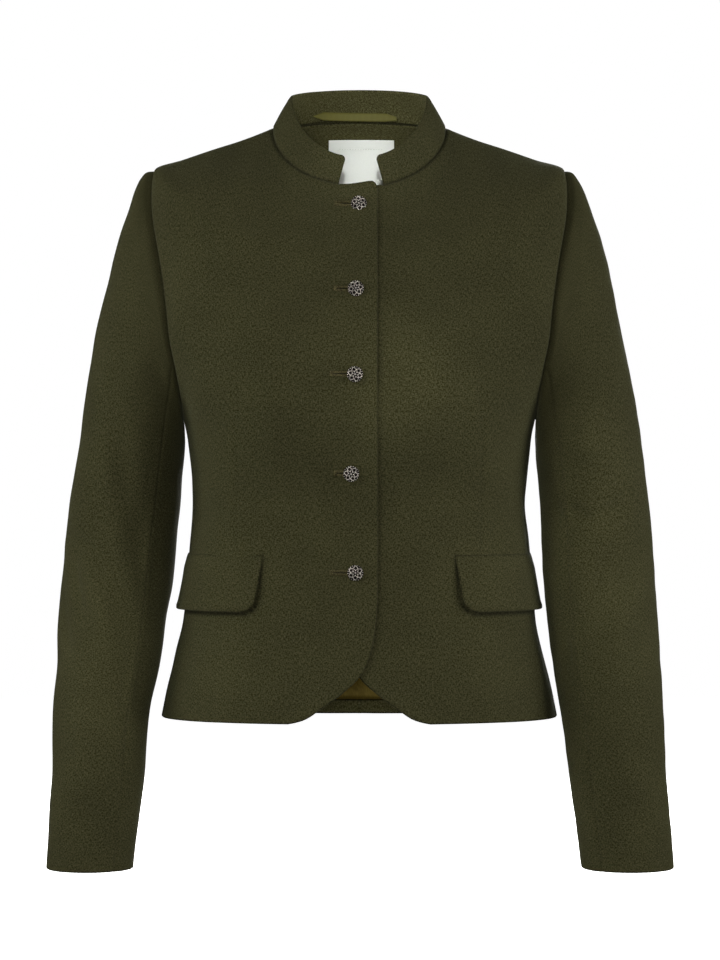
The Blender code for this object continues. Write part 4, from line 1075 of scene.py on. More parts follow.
def makeFront(side):
    points, uv = frontGrid(side)
    edge, hem = points[:, 0], points[-1]
    sewn = [seams["shoulder"], seams["armholeFront"], seams["side"], neckSeam(side)]
    groove, seamAway, normals = pressSeams(points, gridNormals(points), sewn)
    neckEnd = int(np.argmin(np.abs(points[0, :, 0] - collar["end"][side])))
    roll = freeEdge(points, [edge, hem, points[0, :neckEnd + 1]], front["edgeRoll"])
    fromEdge, fromHem = lineDistance(points, edge), lineDistance(points, hem)
    # Just inside a turned edge the pressed cloth stands a little proud of the rest.
    sink = -hump(fromEdge, *front["proud"])
    fromDart = lineDistance(points, dartLine())
    fade = smoothstep(*dart["fade"], points[..., 2])
    sink += fade * (hump(fromDart, *dart["groove"]) - hump(fromDart, *dart["ridge"]))
    sink += troughs(points, front["folds"][side]) * front["foldScale"]
    for wave in front["rolling"]:
        sink += rolling(points, *wave, side)
    # The folds fade out towards the seams, so that neighbours still meet.
    sink = sink * smoothstep(0.0, front["calm"], seamAway) + groove + roll
    outer = points - normals * sink[..., None]
    edgeAway = np.minimum(fromEdge, fromHem)
    swell = hump(edgeAway, front["edgeCloth"] - front["cloth"], 0.0, front["edgeFade"])
    inner = clothBehind(outer, roll, front["cloth"] + swell, sewn)
    lined = (fromEdge > front["facingWidth"]) & (fromHem > front["hemBand"])
    lined &= lineDistance(points, neckLine(side)[1]) > front["neckBand"]
    # A painted shadow is also laid where a flap, or the other front's edge, lies on it.
    under, width, amount = front["flapShadow"]
    paintedShadow = shadeAndNapAt(lineDistance(points + (0.0, 0.0, under), flapOutline()) / width, amount=amount)
    if side == "left":
        past, width, amount = front["lapShadow"]
        lapAway = np.abs(points[..., 0] + frontEdgeX(points[..., 2]) - past)
        paintedShadow = np.maximum(paintedShadow, shadeAndNapAt(lapAway / width, amount=amount))
    # Painted shade in the seams, on the turned edges and along the dart.
    pressed = np.maximum(shadeAndNapAt(seamAway, edgeAway), shadeAndNapAt(fromDart, amount=dart["napShade"] * fade))
    pressed = np.maximum(pressed, paintedShadow)
    piece = pieceFromGrids("front" + side.capitalize() + "Cloth", outer, inner,
                           (lodenFinish, liningFinish), lined.astype(int), uv, side == "right", pressed)
    declareCloth(piece, outer, ["front_" + side])
    return outer, gridNormals(outer)


frontFaces = {side: makeFront(side) for side in ("right", "left")}
print("fronts made")


# Back panels, the facing inside the neck and the lining above the hem

back = {
    "columns": 58,
    "hemTurn": 1.2,                # how much thicker the cloth is where the hem is turned up
    "hemTurnEnds": (516.0, 517.5),
    "calm": 18.0,
    "rolling": ((84.0, 1.6, 31), (36.0, 0.5, 41)),
    "folds": (
        (150, -120, 142, -196, 12, 1.2), (118, -300, 60, -322, 13, 1.3),
        (122, -338, 54, -350, 11, 1.0), (36, -300, 30, -372, 16, -0.9),
        (60, -440, 66, -528, 20, -1.6), (112, -430, 124, -528, 18, 1.5),
        (92, -214, 132, -268, 15, 1.1), (40, -84, 96, -60, 20, 0.8)),
}
inside = {
    "gap": 0.35,
    "facing": {"downs": (4.0, 116.0), "rowStep": 3.2, "columns": 110, "cloth": 1.2, "reach": 0.985},
    "lining": {
        "downs": (431.0, 516.3), "rowStep": 2.6, "columns": 150, "cloth": 0.9, "reach": 0.985,
        "waves": 1.3,
        "fold": (2.0, 513.3, 4.8),     # its height, station and half width
        "hangEnds": (20.0, 4.0),       # the ease fades out this far from its upper and lower edge
        "shade": 514.5,                # below this station the lining is painted dark, a painted shadow
    },
    "label": {"x": (-28.6, 32.6), "downs": (27.5, 103.5), "cloth": 0.7, "over": 0.3, "bow": 0.5},
    "tag": {"x": (14.6, 26.2), "downs": (78.5, 99.2), "cloth": 0.6, "over": 0.3, "bow": 0.2},
    "tapeColumns": 40,
    "tapeRowStep": 2.4,
    "stitchIn": 9,                     # grid lines from the label's edge to its stitches
    "stitch": (2.4, 1.7, 0.22),        # pitch, length and radius
}


def makeBack(side):
    downs = bodyRows("back")
    last = np.full(len(downs), math.pi)
    turns, runs = spreadGrid(bodyPoint, downs, rowEnd(downs, "back"), last, back["columns"])
    down = np.broadcast_to(downs[:, None], turns.shape)
    points = bodyPoint(down, turns)
    sewn = [seams[name] for name in ("shoulder", "armholeBack", "side", "centreBack")] + [neckSeam(side)]
    groove, seamAway, normals = pressSeams(points, gridNormals(points), sewn)
    roll = freeEdge(points, [points[-1]], front["edgeRoll"])
    shape = troughs(points, back["folds"])
    for wave in back["rolling"]:
        shape += rolling(points, *wave, side)
    sink = groove + roll + shape * smoothstep(0.0, back["calm"], seamAway)
    outer = points - normals * sink[..., None]
    turned = smoothstep(*back["hemTurnEnds"], down)
    inner = clothBehind(outer, roll, front["cloth"] + back["hemTurn"] * turned, sewn)
    uv = np.stack([runs - runs[:, -1:], -down], axis=-1)
    # Inside, below the lining's shade line, the hem's turning takes the loden painted paler as painted
    # light; the seams and the hem's fold take a painted shade.
    lined = (down > inside["facing"]["downs"][1]).astype(int) + (down > inside["lining"]["shade"])
    pressed = shadeAndNapAt(seamAway, lineDistance(points, points[-1]))
    piece = pieceFromGrids("back" + side.capitalize() + "Cloth", outer, inner,
                           (lodenFinish, liningFinish, hemLitFinish), lined, uv, side == "right", pressed)
    declareCloth(piece, outer, ["back_" + side])


for side in ("right", "left"):
    makeBack(side)


def insideGrid(size):
    # A layer across the whole back, behind the panels' own cloth. x falls along a row.
    downs = endRows(*size["downs"], size["rowStep"], atEnd=True)
    reach = bodyPoint(downs, rowEnd(downs, "back"))[:, 0] * size["reach"]
    turns = np.linspace(turnAtXBack(downs, reach), turnAtXBack(downs, -reach), size["columns"]).T
    down = np.broadcast_to(downs[:, None], turns.shape)
    points = bodyPoint(down, turns) - bodyNormal(down, turns) * (front["cloth"] + inside["gap"])
    runs = np.array([runAlong(line) for line in points])
    return points, np.stack([runs, -down], axis=-1), down


def makeFacing():
    size = inside["facing"]
    points, uv, _ = insideGrid(size)
    roll = freeEdge(points, [points[-1]], size["cloth"] * 0.45)
    outer = points - gridNormals(points) * roll[..., None]
    inner = clothBehind(outer, roll, np.full(roll.shape, size["cloth"]))
    # The facing takes the loden painted paler as painted light.
    piece = pieceFromGrids("backFacingCloth", outer, inner, (insideLitFinish,), None, uv)
    declareCloth(piece, outer, ["back_facing"])


def makeBackLining():
    size = inside["lining"]
    points, uv, down = insideGrid(size)
    run = uv[..., 0]
    # The lining has a little ease, which lies in low upright waves and a fold that hangs over the
    # hem. Its lowest edge, in the dark under that fold, takes a painted shadow.
    waves = 0.5 + 0.5 * np.sin(run / 17.0 + 1.3 * np.sin(run / 41.0)) * np.sin(run / 29.0 + 0.6)
    ease = size["waves"] * waves + hump(down, *size["fold"])
    (upper, lower), (atTop, atEnd) = size["downs"], size["hangEnds"]
    ease *= smoothstep(0.0, atEnd, lower - down) * smoothstep(0.0, atTop, down - upper)
    outer = points - gridNormals(points) * ease[..., None]
    inner = clothBehind(outer, np.zeros(ease.shape), np.full(ease.shape, size["cloth"]))
    piece = pieceFromGrids("backLiningSatin", outer, inner, (liningFinish, paintedShadowFinish),
                           (down > size["shade"]).astype(int), uv)
    declareCloth(piece, outer, ["back_lining"])


def ringOf(form, centre, across, upward, radius, sides):
    # A ring of new vertices round a centre.
    return [form.verts.new(centre + (across * math.cos(k * math.tau / sides)
            + upward * math.sin(k * math.tau / sides)) * radius) for k in range(sides)]


def rodMesh(form, ends, radius, sides=6, bulge=0.0):
    # A short rounded rod between two points: a stitch. Its middle may stand wider.
    a, b = Vector(ends[0]) * mm, Vector(ends[1]) * mm
    axis = (b - a).normalized()
    across = axis.orthogonal().normalized()
    upward = axis.cross(across)
    rings = []
    for place, size in ((0.0, 0.35), (0.18, 0.9), (0.5, 1.0 + bulge), (0.82, 0.9), (1.0, 0.35)):
        rings.append(ringOf(form, a.lerp(b, place), across, upward, radius * mm * size, sides))
    for low, high in zip(rings, rings[1:]):
        for k in range(sides):
            form.faces.new((low[k], low[(k + 1) % sides], high[(k + 1) % sides], high[k]))
    form.faces.new(rings[0][::-1])
    form.faces.new(rings[-1])


def pieceFromForm(name, form, finish, mirrored=False):
    if mirrored:
        for vert in form.verts:
            vert.co.x *= -1
        bmesh.ops.reverse_faces(form, faces=form.faces)
    mesh = meshOf(name, form, finish)
    mesh.shade_smooth()
    made = addObject(name, mesh)
    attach(made, "root")


def makeTape(name, node, size, depth, finish):
    # A woven label sewn flat on what lies behind it, at this depth, with its ends turned under.
    downs = endRows(*size["downs"], inside["tapeRowStep"], atStart=True, atEnd=True)
    low, high = (turnAtXBack(downs, x) for x in size["x"])
    turns, runs = spreadGrid(bodyPoint, downs, high, low, inside["tapeColumns"])
    down = np.broadcast_to(downs[:, None], turns.shape)
    outward = bodyNormal(down, turns)
    base = bodyPoint(down, turns) - outward * depth
    across = (runs - runs[:, :1]) / (runs[:, -1:] - runs[:, :1])
    along = (down - down.min()) / (down.max() - down.min())
    bow = size["bow"] * np.sin(math.pi * across) * np.sin(math.pi * along)
    bow = bow * (0.6 + 0.4 * np.sin(across * 9.0))
    # The body's normals point out, and the tape lies on the inside, so it faces the other way.
    roll = freeEdge(base, [base[0], base[-1], base[:, 0], base[:, -1]], size["cloth"] * 0.4)
    facing = base - outward * (size["cloth"] + bow - roll)[..., None]
    behind = base - outward * (bow * 0.6 + roll)[..., None]
    piece = pieceFromGrids(name, behind, facing, (finish,), None, np.stack([runs, -down], axis=-1))
    declareCloth(piece, behind, [node])
    return facing


def frameOf(grid, edge):
    # The rectangle of grid points that lies this many lines in from a grid's edge.
    return np.concatenate([grid[edge, edge:-edge], grid[edge:-edge, -edge],
                           grid[-edge, -edge:edge:-1], grid[-edge:edge:-1, edge]])


def runStitches(name, line, normals, finish, slotName):
    # A row of running stitches laid along a line of points.
    pitch, length, radius = inside["stitch"]
    run = runAlong(line)
    form = bmesh.new()
    for start in np.arange(pitch * 0.5, run[-1] - length, pitch):
        ends = []
        for place in (start, start + length):
            spot = [np.interp(place, run, line[:, axis]) for axis in range(3)]
            lift = [np.interp(place, run, normals[:, axis]) for axis in range(3)]
            ends.append(np.array(spot) + np.array(lift) * radius * 0.5)
        rodMesh(form, ends, radius)
    pieceFromForm(name, form, finish)


makeFacing()
makeBackLining()
label, tag = inside["label"], inside["tag"]
labelDepth = front["cloth"] + inside["gap"] + inside["facing"]["cloth"] + label["over"]
labelFace = makeTape("labelTape", "label", label, labelDepth, labelFinish)
makeTape("sizeTape", "size_tag", tag, labelDepth + tag["over"] + label["cloth"], tagFinish)
labelFrame = [frameOf(grid, inside["stitchIn"]) for grid in (labelFace, gridNormals(labelFace) * -1)]
runStitches("labelStitches", *labelFrame, paleThreadFinish, "label")
print("back, facing, lining and label made")


# Hanger loop: a ribbon folded to a point at its right end and caught down at its left one

loop = {
    "x": (-41.8, 34.0),
    "z": 15.3,
    "height": 7.6,
    "behind": 6.0,                 # in from the neck's own ring
    "bow": 0.5,
    "thick": 0.9,
    "turnedUnder": 2.4,
    "across": (-1.0, -0.93, -0.8, -0.4, 0.0, 0.4, 0.8, 0.93, 1.0),   # its columns, over half its height
    "selvedge": (0.22, 0.86, 0.09),
    # How much of its height it has along its length, and how far its middle is off the straight
    "taper": ((0.0, 0.10), (0.055, 0.52), (0.125, 1.0), (0.86, 1.0), (0.955, 0.66), (1.0, 0.5)),
    "droop": ((0.0, 0.0), (0.12, 0.4), (0.5, 0.1), (0.86, -0.5), (1.0, -1.9)),
}


def makeLoop():
    t = np.concatenate([np.linspace(0.0, 0.13, 16), np.linspace(0.14, 0.86, 60), np.linspace(0.87, 1.0, 14)])
    taper = np.interp(t, *zip(*loop["taper"]))
    droop = smoothCurve(*zip(*loop["droop"]))(t)
    low, high = loop["x"]
    x = low + (high - low) * t
    neck = {name: float(curve(0.0)) for name, curve in bodyCurves.items()}
    square = neck["squareBack"]
    neckY = neck["back"] * (1 - np.abs(x / neck["halfWidth"]) ** square) ** (1 / square)
    y = neckY - loop["behind"] - loop["bow"] * np.sin(math.pi * t)
    across = np.array(loop["across"])
    shape = (len(across), len(t))
    z = loop["z"] + droop + across[::-1, None] * (loop["height"] / 2 * taper)
    grid = np.stack([np.broadcast_to(x, shape), np.broadcast_to(y, shape), z], axis=-1)
    # A little thicker along both selvedges; its face looks into the neck, towards -y.
    thick = loop["thick"] * (1 - 0.75 * np.abs(across) ** 14) + hump(np.abs(across), *loop["selvedge"])
    face = grid.copy()
    face[..., 1] -= thick[:, None]
    down = across * loop["height"] / 2
    uv = np.stack([np.broadcast_to(x, shape), np.broadcast_to(down[:, None], shape)], axis=-1)
    piece = pieceFromGrids("hangerRibbon", face, grid, (ribbonFinish,), None, uv)
    declareCloth(piece, face, ["hanger_loop"], turned=loop["turnedUnder"])


makeLoop()


# Sleeves

def creaseDepth(side, row, turn):
    # The pressed folds, on a flat map of the sleeve.
    perRow, perDegree = sleeve["creaseMap"]
    here = np.stack([row * perRow, np.degrees(np.mod(turn, math.tau)) * perDegree], axis=-1)
    folds = [(rowA * perRow, turnA * perDegree, rowB * perRow, turnB * perDegree, halfWidth, deep)
             for rowA, turnA, rowB, turnB, halfWidth, deep in sleeve["creases"][side]]
    return foldDepth(here, folds, 0.35)


def seamTurn(armholeSeam, share):
    # The turn at which a sleeve's seam starts, a share of the way up one side of the armhole.
    line = armholeSeam.line[::-1]
    run = runAlong(line)
    return float(loopTurn(np.array([np.interp(run[-1] * share, run, line[:, axis]) for axis in range(3)])))


def headSeam():
    ahead, behind = seams["armholeFront"], seams["armholeBack"]
    normals = np.concatenate([ahead.normals[::-1], behind.normals[1:]])
    depth = np.concatenate([ahead.depth[::-1], behind.depth[1:]])
    return Seam(armLoop, normals, depth, seamForm["armholeWidth"])


def longSeam(side, turn):
    # One of a sleeve's two seams, from the armhole to the cuff.
    rows = np.linspace(0.0, sleeve["cuffRows"][-1], 160)
    return Seam(sleevePoint(side, rows, turn), sleeveNormal(side, rows, turn), *seamForm["sleeve"])


def makeSleevePiece(side, name, nodeNames, first, last, columns, long):
    middle = np.arange(1.0, sleeve["cuffRows"][0], sleeve["rowStep"])
    rows = np.concatenate([sleeve["headRows"], middle, sleeve["cuffRows"]])
    turns, runs = spreadGrid(lambda row, turn: sleevePoint(side, row, turn), rows,
                             np.full(len(rows), first), np.full(len(rows), last), columns)
    row = np.broadcast_to(rows[:, None], turns.shape)
    points = sleevePoint(side, row, turns)
    toHole = lineDistance(points, armLoop)
    cuff = sleevePoint(side, rows[-1], np.linspace(0.0, math.tau, 200))
    toCuff = lineDistance(points, cuff)
    head = headSeam()
    groove, seamAway, normals = pressSeams(points, gridNormals(points), long)
    headGroove, _, normals = pressSeams(points, normals, [head])
    roll = freeEdge(points, [cuff], front["edgeRoll"])
    shape = creaseDepth(side, row, turns)
    for way, folds in ((1, sleeve["frontFolds"][side]), (-1, sleeve["backFolds"])):
        facing = smoothstep(-0.15, 0.45, way * np.sin(turns))
        shape = shape + facing * troughs(points, folds) * sleeve["foldScale"]
    for wave in sleeve["rolling"]:
        shape += rolling(points, *wave, side)
    offSeam = smoothstep(0.0, 5.0, seamAway)
    ease = hump(toHole, *sleeve["ease"]) * offSeam
    height, at, halfWidth = sleeve["pucker"]
    pucker = height * np.sin(turns * sleeve["puckers"]) * hump(toHole, 1.0, at, halfWidth)
    pucker *= smoothstep(*sleeve["puckerFade"], points[..., 2]) * offSeam
    fromHole, fromSeam = sleeve["calm"]
    calm = smoothstep(0.0, fromHole, toHole) * smoothstep(0.0, fromSeam, seamAway)
    sink = np.maximum(groove, headGroove) + roll + shape * calm - ease - pucker
    outer = points - normals * sink[..., None]
    inner = clothBehind(outer, roll, np.full(roll.shape, front["cloth"]), long + [head])
    uv = np.stack([runs, -row * sleeve["lengthOfRow"]], axis=-1)
    # Painted shade at the armhole seam and the cuff, and less along the long seams.
    pressed = np.maximum(shadeAndNapAt(toHole, toCuff), shadeAndNapAt(seamAway, amount=sleeve["seamShadeAndNap"]))
    lined = (toCuff > sleeve["cuffBand"]).astype(int)
    piece = pieceFromGrids("sleeve" + side.capitalize() + name + "Cloth", outer, inner,
                           (lodenFinish, liningFinish), lined, uv, side == "right", pressed)
    declareCloth(piece, outer, ["sleeve_" + side + "_" + node for node in nodeNames])


def makeSleeve(side):
    frontTurn = seamTurn(seams["armholeFront"], sleeve["frontSeam"])
    backTurn = math.tau - seamTurn(seams["armholeBack"], sleeve["backSeam"])
    long = [longSeam(side, frontTurn), longSeam(side, backTurn)]
    makeSleevePiece(side, "Top", sleeve["topParts"], frontTurn, backTurn, sleeve["topColumns"], long)
    makeSleevePiece(side, "Under", ["under"], backTurn, math.tau + frontTurn, sleeve["underColumns"], long)


for side in ("right", "left"):
    makeSleeve(side)
print("sleeves made")


# Stand collar

def bothSides(left, right):
    # The left half of a line of points round the neck, and the right half mirrored after it.
    return np.concatenate([left, (right * (-1.0, 1.0, 1.0))[-2::-1]])


def makeCollar():
    halves = []
    for side in ("left", "right"):
        turns, points = neckLine(side, 400)
        run = runAlong(points)
        near = np.array(gridSteps["nearEdge"])
        places = np.concatenate([near, np.linspace(near[-1], run[-1], collar["columns"] // 2)[1:]])
        turns = np.interp(places, run, turns)
        points = np.stack([np.interp(places, run, points[:, axis]) for axis in range(3)], axis=-1)
        halves.append((points, bodyNormal(0.0, turns), collarUpper(turns)))
    base, normals, upper = (bothSides(a, b) for a, b in zip(*halves))
    left, right = neckSeam("left"), neckSeam("right")
    baseSeam = Seam(bothSides(left.line, right.line), bothSides(left.normals, right.normals),
                    *seamForm["neck"])
    height = np.linalg.norm(upper - base, axis=-1)
    near = np.array(gridSteps["nearEdge"]) / height.max()
    inner = np.linspace(near[-1], 1 - near[-1], collar["rows"])[1:-1]
    share = np.concatenate([near, inner, 1 - near[::-1]])[::-1, None]
    toward = unit(upper - base)
    outward = unit(normals - toward * np.sum(normals * toward, axis=-1, keepdims=True))
    crown = (collar["crown"] * 4 * share * (1 - share))[..., None]
    points = base + (upper - base) * share[..., None] + outward * crown
    # Round the two upper corners by drawing the rows in towards the middle.
    cut = roundOff(share * height - (height - collar["corner"]), collar["corner"])
    reach = collar["cornerColumns"]
    for edge, step in ((0, 1), (points.shape[1] - 1, -1)):
        inward = unit(points[:, edge + step * reach] - points[:, edge])
        for k in range(reach):
            points[:, edge + step * k] += inward * (cut[:, edge] * (1 - k / reach))[:, None]
    sink, baseAway, normals = pressSeams(points, gridNormals(points), [baseSeam])
    roll = freeEdge(points, [points[0], points[:, 0], points[:, -1]], collar["edgeRoll"])
    sink -= hump(lineDistance(points, points[0]), *collar["proud"])
    calm = smoothstep(0.0, collar["calm"], baseAway)
    sink += sum(rolling(points, *wave) for wave in collar["rolling"]) * calm
    outer = points - normals * (sink + roll)[..., None]
    inner = clothBehind(outer, roll, np.full(roll.shape, collar["cloth"]), [baseSeam])
    runs = runAlong(base)
    lean = collar["grainLean"]
    across = np.broadcast_to(runs, share.shape[:1] + runs.shape) + lean * height * share
    uv = np.stack([across, height * share - lean * runs], axis=-1)
    # Its inner face takes the loden painted paler as painted light, and its base seam a painted shade.
    piece = pieceFromGrids("collarCloth", outer, inner, (lodenFinish, insideLitFinish),
                           np.ones(outer.shape[:2], int), uv, False, shadeAndNapAt(baseAway))
    declareCloth(piece, outer, ["collar"])


makeCollar()


# Pocket flaps

def makeFlap(side):
    edge = np.array(gridSteps["nearEdge"])
    near = edge / (flap["bottom"] - flap["top"])
    shares = np.concatenate([near[:4], np.linspace(0.06, 1 - near[-1], flap["rows"]), 1 - near[-2::-1]])
    shares = shares[:, None]
    near = edge / flap["length"]
    middle = np.linspace(near[-1], 1 - near[-1], flap["columns"])[1:-1]
    lengths, turns, down = flapPlaces(shares, np.concatenate([near, middle, 1 - near[::-1]]))
    surface, normals = bodyPoint(down, turns), bodyNormal(down, turns)
    inFront, aside = flap["flare"]
    flare = inFront + (aside - inFront) * smoothstep(*flap["flareEnds"], lengths / flap["length"])
    kick = flap["kick"] * (1 - smoothstep(0.0, flap["kickEnd"], lengths / flap["length"])) * shares ** 2
    stand = flap["gap"] + flare * shares ** 1.3 + kick
    wave = rolling(surface, *flap["rolling"], side) * shares
    # The flap comes out of the pocket's slit, so it starts thin against the front.
    thin, added, reach = flap["slit"]
    cloth = flap["cloth"] * (thin + added * smoothstep(0.0, reach, lineDistance(surface, surface[0])))
    outer = surface + normals * (stand + cloth + wave)[..., None]
    radius = flap["edgeRoll"]
    roll = np.minimum(freeEdge(outer, [outer[-1], outer[:, 0], outer[:, -1]], radius), thin * cloth)
    dip = hump(lineDistance(outer, outer[0]), *flap["dip"]) * (1 - roll / radius)
    edgeAway = np.minimum(lineDistance(outer, outer[-1]), lineDistance(outer, outer[:, 0]))
    dip -= hump(edgeAway, *flap["proud"])
    inner = surface + normals * (stand + wave * 0.9 + roll)[..., None]
    outer = outer - normals * (roll + dip)[..., None]
    uv = np.stack([lengths + flap["weaveStart"], -down], axis=-1)
    # Painted shade along its top seam and its turned edges.
    pressed = shadeAndNapAt(lineDistance(surface, surface[0]), edgeAway)
    piece = pieceFromGrids("flap" + side.capitalize() + "Cloth", outer, inner,
                           (lodenFinish, liningFinish), np.zeros(outer.shape[:2], int), uv,
                           side == "right", pressed)
    declareCloth(piece, outer, ["flap_" + side])


for side in ("right", "left"):
    makeFlap(side)
print("collar and flaps made")


# Buttons and buttonholes

button = {
    "places": ((-74.3, 0.7), (-150.5, 2.9), (-224.6, 4.2), (-310.4, 6.9), (-396.8, 3.6)),   # z, x
    "radius": 6.9,
    "dome": 5.0,
    "lift": 4.0,                   # its back over the cloth
    "shank": 1.3,
    "base": 0.3,
    "rim": (0.7, 0.9),             # the back's bevel, and the edge's thickness
    "crown": (2.2, 0.72),          # exponents of the dome's curve
    "ground": (0.25, 0.6),         # the dark ground's own radius is less by this, and it lies this deep
    "segments": 40,
    # A lattice of wires: how many wind each way, their radius, and where they start and how far out
    # they run
    "spirals": 6,
    "wire": 0.27,
    "wireReach": (2.0, 4.2),
    # Rings of grains: distance from the axis, number, radius, and the first one's place
    "grains": ((6.42, 20, 0.42, 0.0), (4.1, 6, 0.62, 0.0), (2.1, 6, 0.50, 0.5), (0.0, 1, 0.80, 0.0)),
    "fineGrain": 0.5,              # grains smaller than this have fewer faces
    # How each button has turned on its shank, and how it hangs off the straight, in degrees
    "turned": (8.0, 41.0, 75.0, 20.0, 58.0),
    "tilts": ((2.5, -3.0), (-1.5, 2.0), (1.0, -2.5), (-2.0, -1.0), (2.0, 1.5)),
    "droop": 0.15,                 # share of the cloth's own slope that it keeps
}
buttonhole = {
    "ends": (20.0, 20.3, 23.8, 20.2, 23.8),   # x where each one ends
    "behind": 3.0,                 # how far it runs on past the shank
    "slope": 0.02,                 # it runs down a little towards the edge
    "slit": (0.36, 0.03),          # the radius of a dark tube painted as the shadow in the cut, and how far it lies over the cloth
    "open": 0.42,                  # how far the stitches stand back from the cut's middle
    "openest": (0.8, 7.0, 7.0),    # added share where the shank pulls, how far past it, and over what
    "closed": 0.45,                # share everywhere
    "lip": 2.1,                    # how far its stitches reach over the cloth
    "lipSpread": (0.92, 1.08),
    "sway": 0.04,
    "rises": (0.42, 0.05),         # how far a stitch's inner and outer ends lie over the cloth
    "pitch": 0.55,
    "thread": (0.36, 5, 0.15),     # its radius, how many sides it has, and how much fuller its middle is
}
barTack = {
    "stitches": 5,
    "pitch": 0.45,
    "half": 2.5,
    "halfSpread": (0.92, 1.05),
    "offset": (-0.2, 0.4),         # its first stitch's place from the buttonhole's end, and its lift
    "rises": (0.3, 0.42),
    "thread": (0.29, 5, 0.25),
}


def domeHeight(radius):
    # Height of the button's face over its back at a distance from its axis.
    share = np.clip(radius / button["radius"], 0.0, 1.0)
    edge = button["rim"][1]
    slope, fullness = button["crown"]
    return button["lift"] + edge + (button["dome"] - edge) * (1 - share ** slope) ** fullness


def tube(form, line, radius, sides=5):
    rings = []
    for i, point in enumerate(line):
        ahead = line[min(i + 1, len(line) - 1)] - line[max(i - 1, 0)]
        axis = Vector(ahead).normalized()
        across = axis.cross(Vector((0, 0, 1))).normalized()
        rings.append(ringOf(form, Vector(point) * mm, across, across.cross(axis), radius * mm, sides))
    faces = [form.faces.new(rings[0]), form.faces.new(rings[-1][::-1])]
    for low, high in zip(rings, rings[1:]):
        faces += [form.faces.new((low[k], high[k], high[(k + 1) % sides], low[(k + 1) % sides]))
                  for k in range(sides)]
    for face in faces:
        face.smooth = True


def turnedForm(form, profile, sides):
    # A solid turned round its upright axis. The profile starts and ends on the axis.
    bottom, top = (form.verts.new((0.0, 0.0, height * mm)) for _, height in (profile[0], profile[-1]))
    rings = [ringOf(form, Vector((0, 0, height * mm)), Vector((1, 0, 0)), Vector((0, 1, 0)), radius * mm,
                    sides) for radius, height in profile[1:-1]]
    for k in range(sides):
        ahead = (k + 1) % sides
        form.faces.new((bottom, rings[0][ahead], rings[0][k]))
        for low, high in zip(rings, rings[1:]):
            form.faces.new((low[k], low[ahead], high[ahead], high[k]))
        form.faces.new((rings[-1][k], rings[-1][ahead], top))


def buttonMesh():
    form = bmesh.new()
    lift, whole, (bevel, _) = button["lift"], button["radius"], button["rim"]
    less, deep = button["ground"]
    profile = [(0.0, button["base"]), (button["shank"], button["base"]), (button["shank"], lift),
               (whole - bevel, lift), (whole, lift + bevel)]
    profile += [(radius, float(domeHeight(radius)) - deep) for radius in np.linspace(whole - less, 0.0, 12)]
    turnedForm(form, profile, button["segments"])
    for face in form.faces:
        face.material_index = 1
        face.smooth = True
    # The wires wind both ways over the dome and leave dark lozenges between them.
    spirals, (start, reach) = button["spirals"], button["wireReach"]
    t = np.linspace(0.0, 1.0, 15)
    radius = start + reach * t
    for way in (1, -1):
        for k in range(spirals):
            angle = k * math.tau / spirals + way * (math.pi / spirals) * (2.0 * t - 1.0)
            line = np.stack([radius * np.cos(angle), radius * np.sin(angle), domeHeight(radius)], axis=-1)
            tube(form, line, button["wire"])
    # Grains round the rim, at each crossing of the outer lattice and round the middle.
    for radius, count, size, first in button["grains"]:
        for k in range(count):
            angle = (k + first) * math.tau / count
            spot = (radius * math.cos(angle), radius * math.sin(angle), float(domeHeight(radius)))
            made = bmesh.ops.create_icosphere(form, subdivisions=1 if size < button["fineGrain"] else 2,
                                              radius=size * mm)
            bmesh.ops.translate(form, verts=made["verts"], vec=Vector(spot) * mm)
            for face in {face for vert in made["verts"] for face in vert.link_faces}:
                face.material_index = 0
                face.smooth = True
    return meshOf("buttonMetal", form, silverFinish, tarnishFinish)


def makeButtons():
    mesh = buttonMesh()
    hung = zip(button["places"], button["turned"], button["tilts"])
    for number, ((z, x), turned, (sideways, upward)) in enumerate(hung, start=1):
        down = downAtFront(z)
        turn = turnAtX(down, x)
        point, normal = bodyPoint(down, turn), bodyNormal(down, turn)
        made = addObject(f"buttonMetal{number}", mesh)
        made.location = Vector((-point[0], point[1], point[2])) * mm
        # A button's weight turns it down on its shank until it looks almost straight ahead.
        outward = Vector((-normal[0] + math.radians(sideways), normal[1],
                          normal[2] * button["droop"] + math.radians(upward)))
        made.rotation_mode = "QUATERNION"
        spin = Quaternion((0, 0, 1), math.radians(turned))
        made.rotation_quaternion = outward.to_track_quat("Z", "Y") @ spin
        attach(made, "root")
        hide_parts(f"button_{number}")


def onTopFront(x, z):
    # A point of the finished top front's face and its normal, found on the panel's own grid.
    outer, normals = frontFaces["right"]
    away = (outer[..., 0] - x) ** 2 + (outer[..., 2] - z) ** 2
    flat = np.argsort(away, axis=None)[:6]
    weight = 1 / (away.reshape(-1)[flat] + 0.05)
    weight /= weight.sum()
    spots, ways = outer.reshape(-1, 3)[flat], normals.reshape(-1, 3)[flat]
    normal = unit((ways * weight[:, None]).sum(axis=0))
    plane = (spots * weight[:, None]).sum(axis=0)
    y = plane[1] - (normal[0] * (x - plane[0]) + normal[2] * (z - plane[2])) / normal[1]
    return np.array([x, y, z]), normal


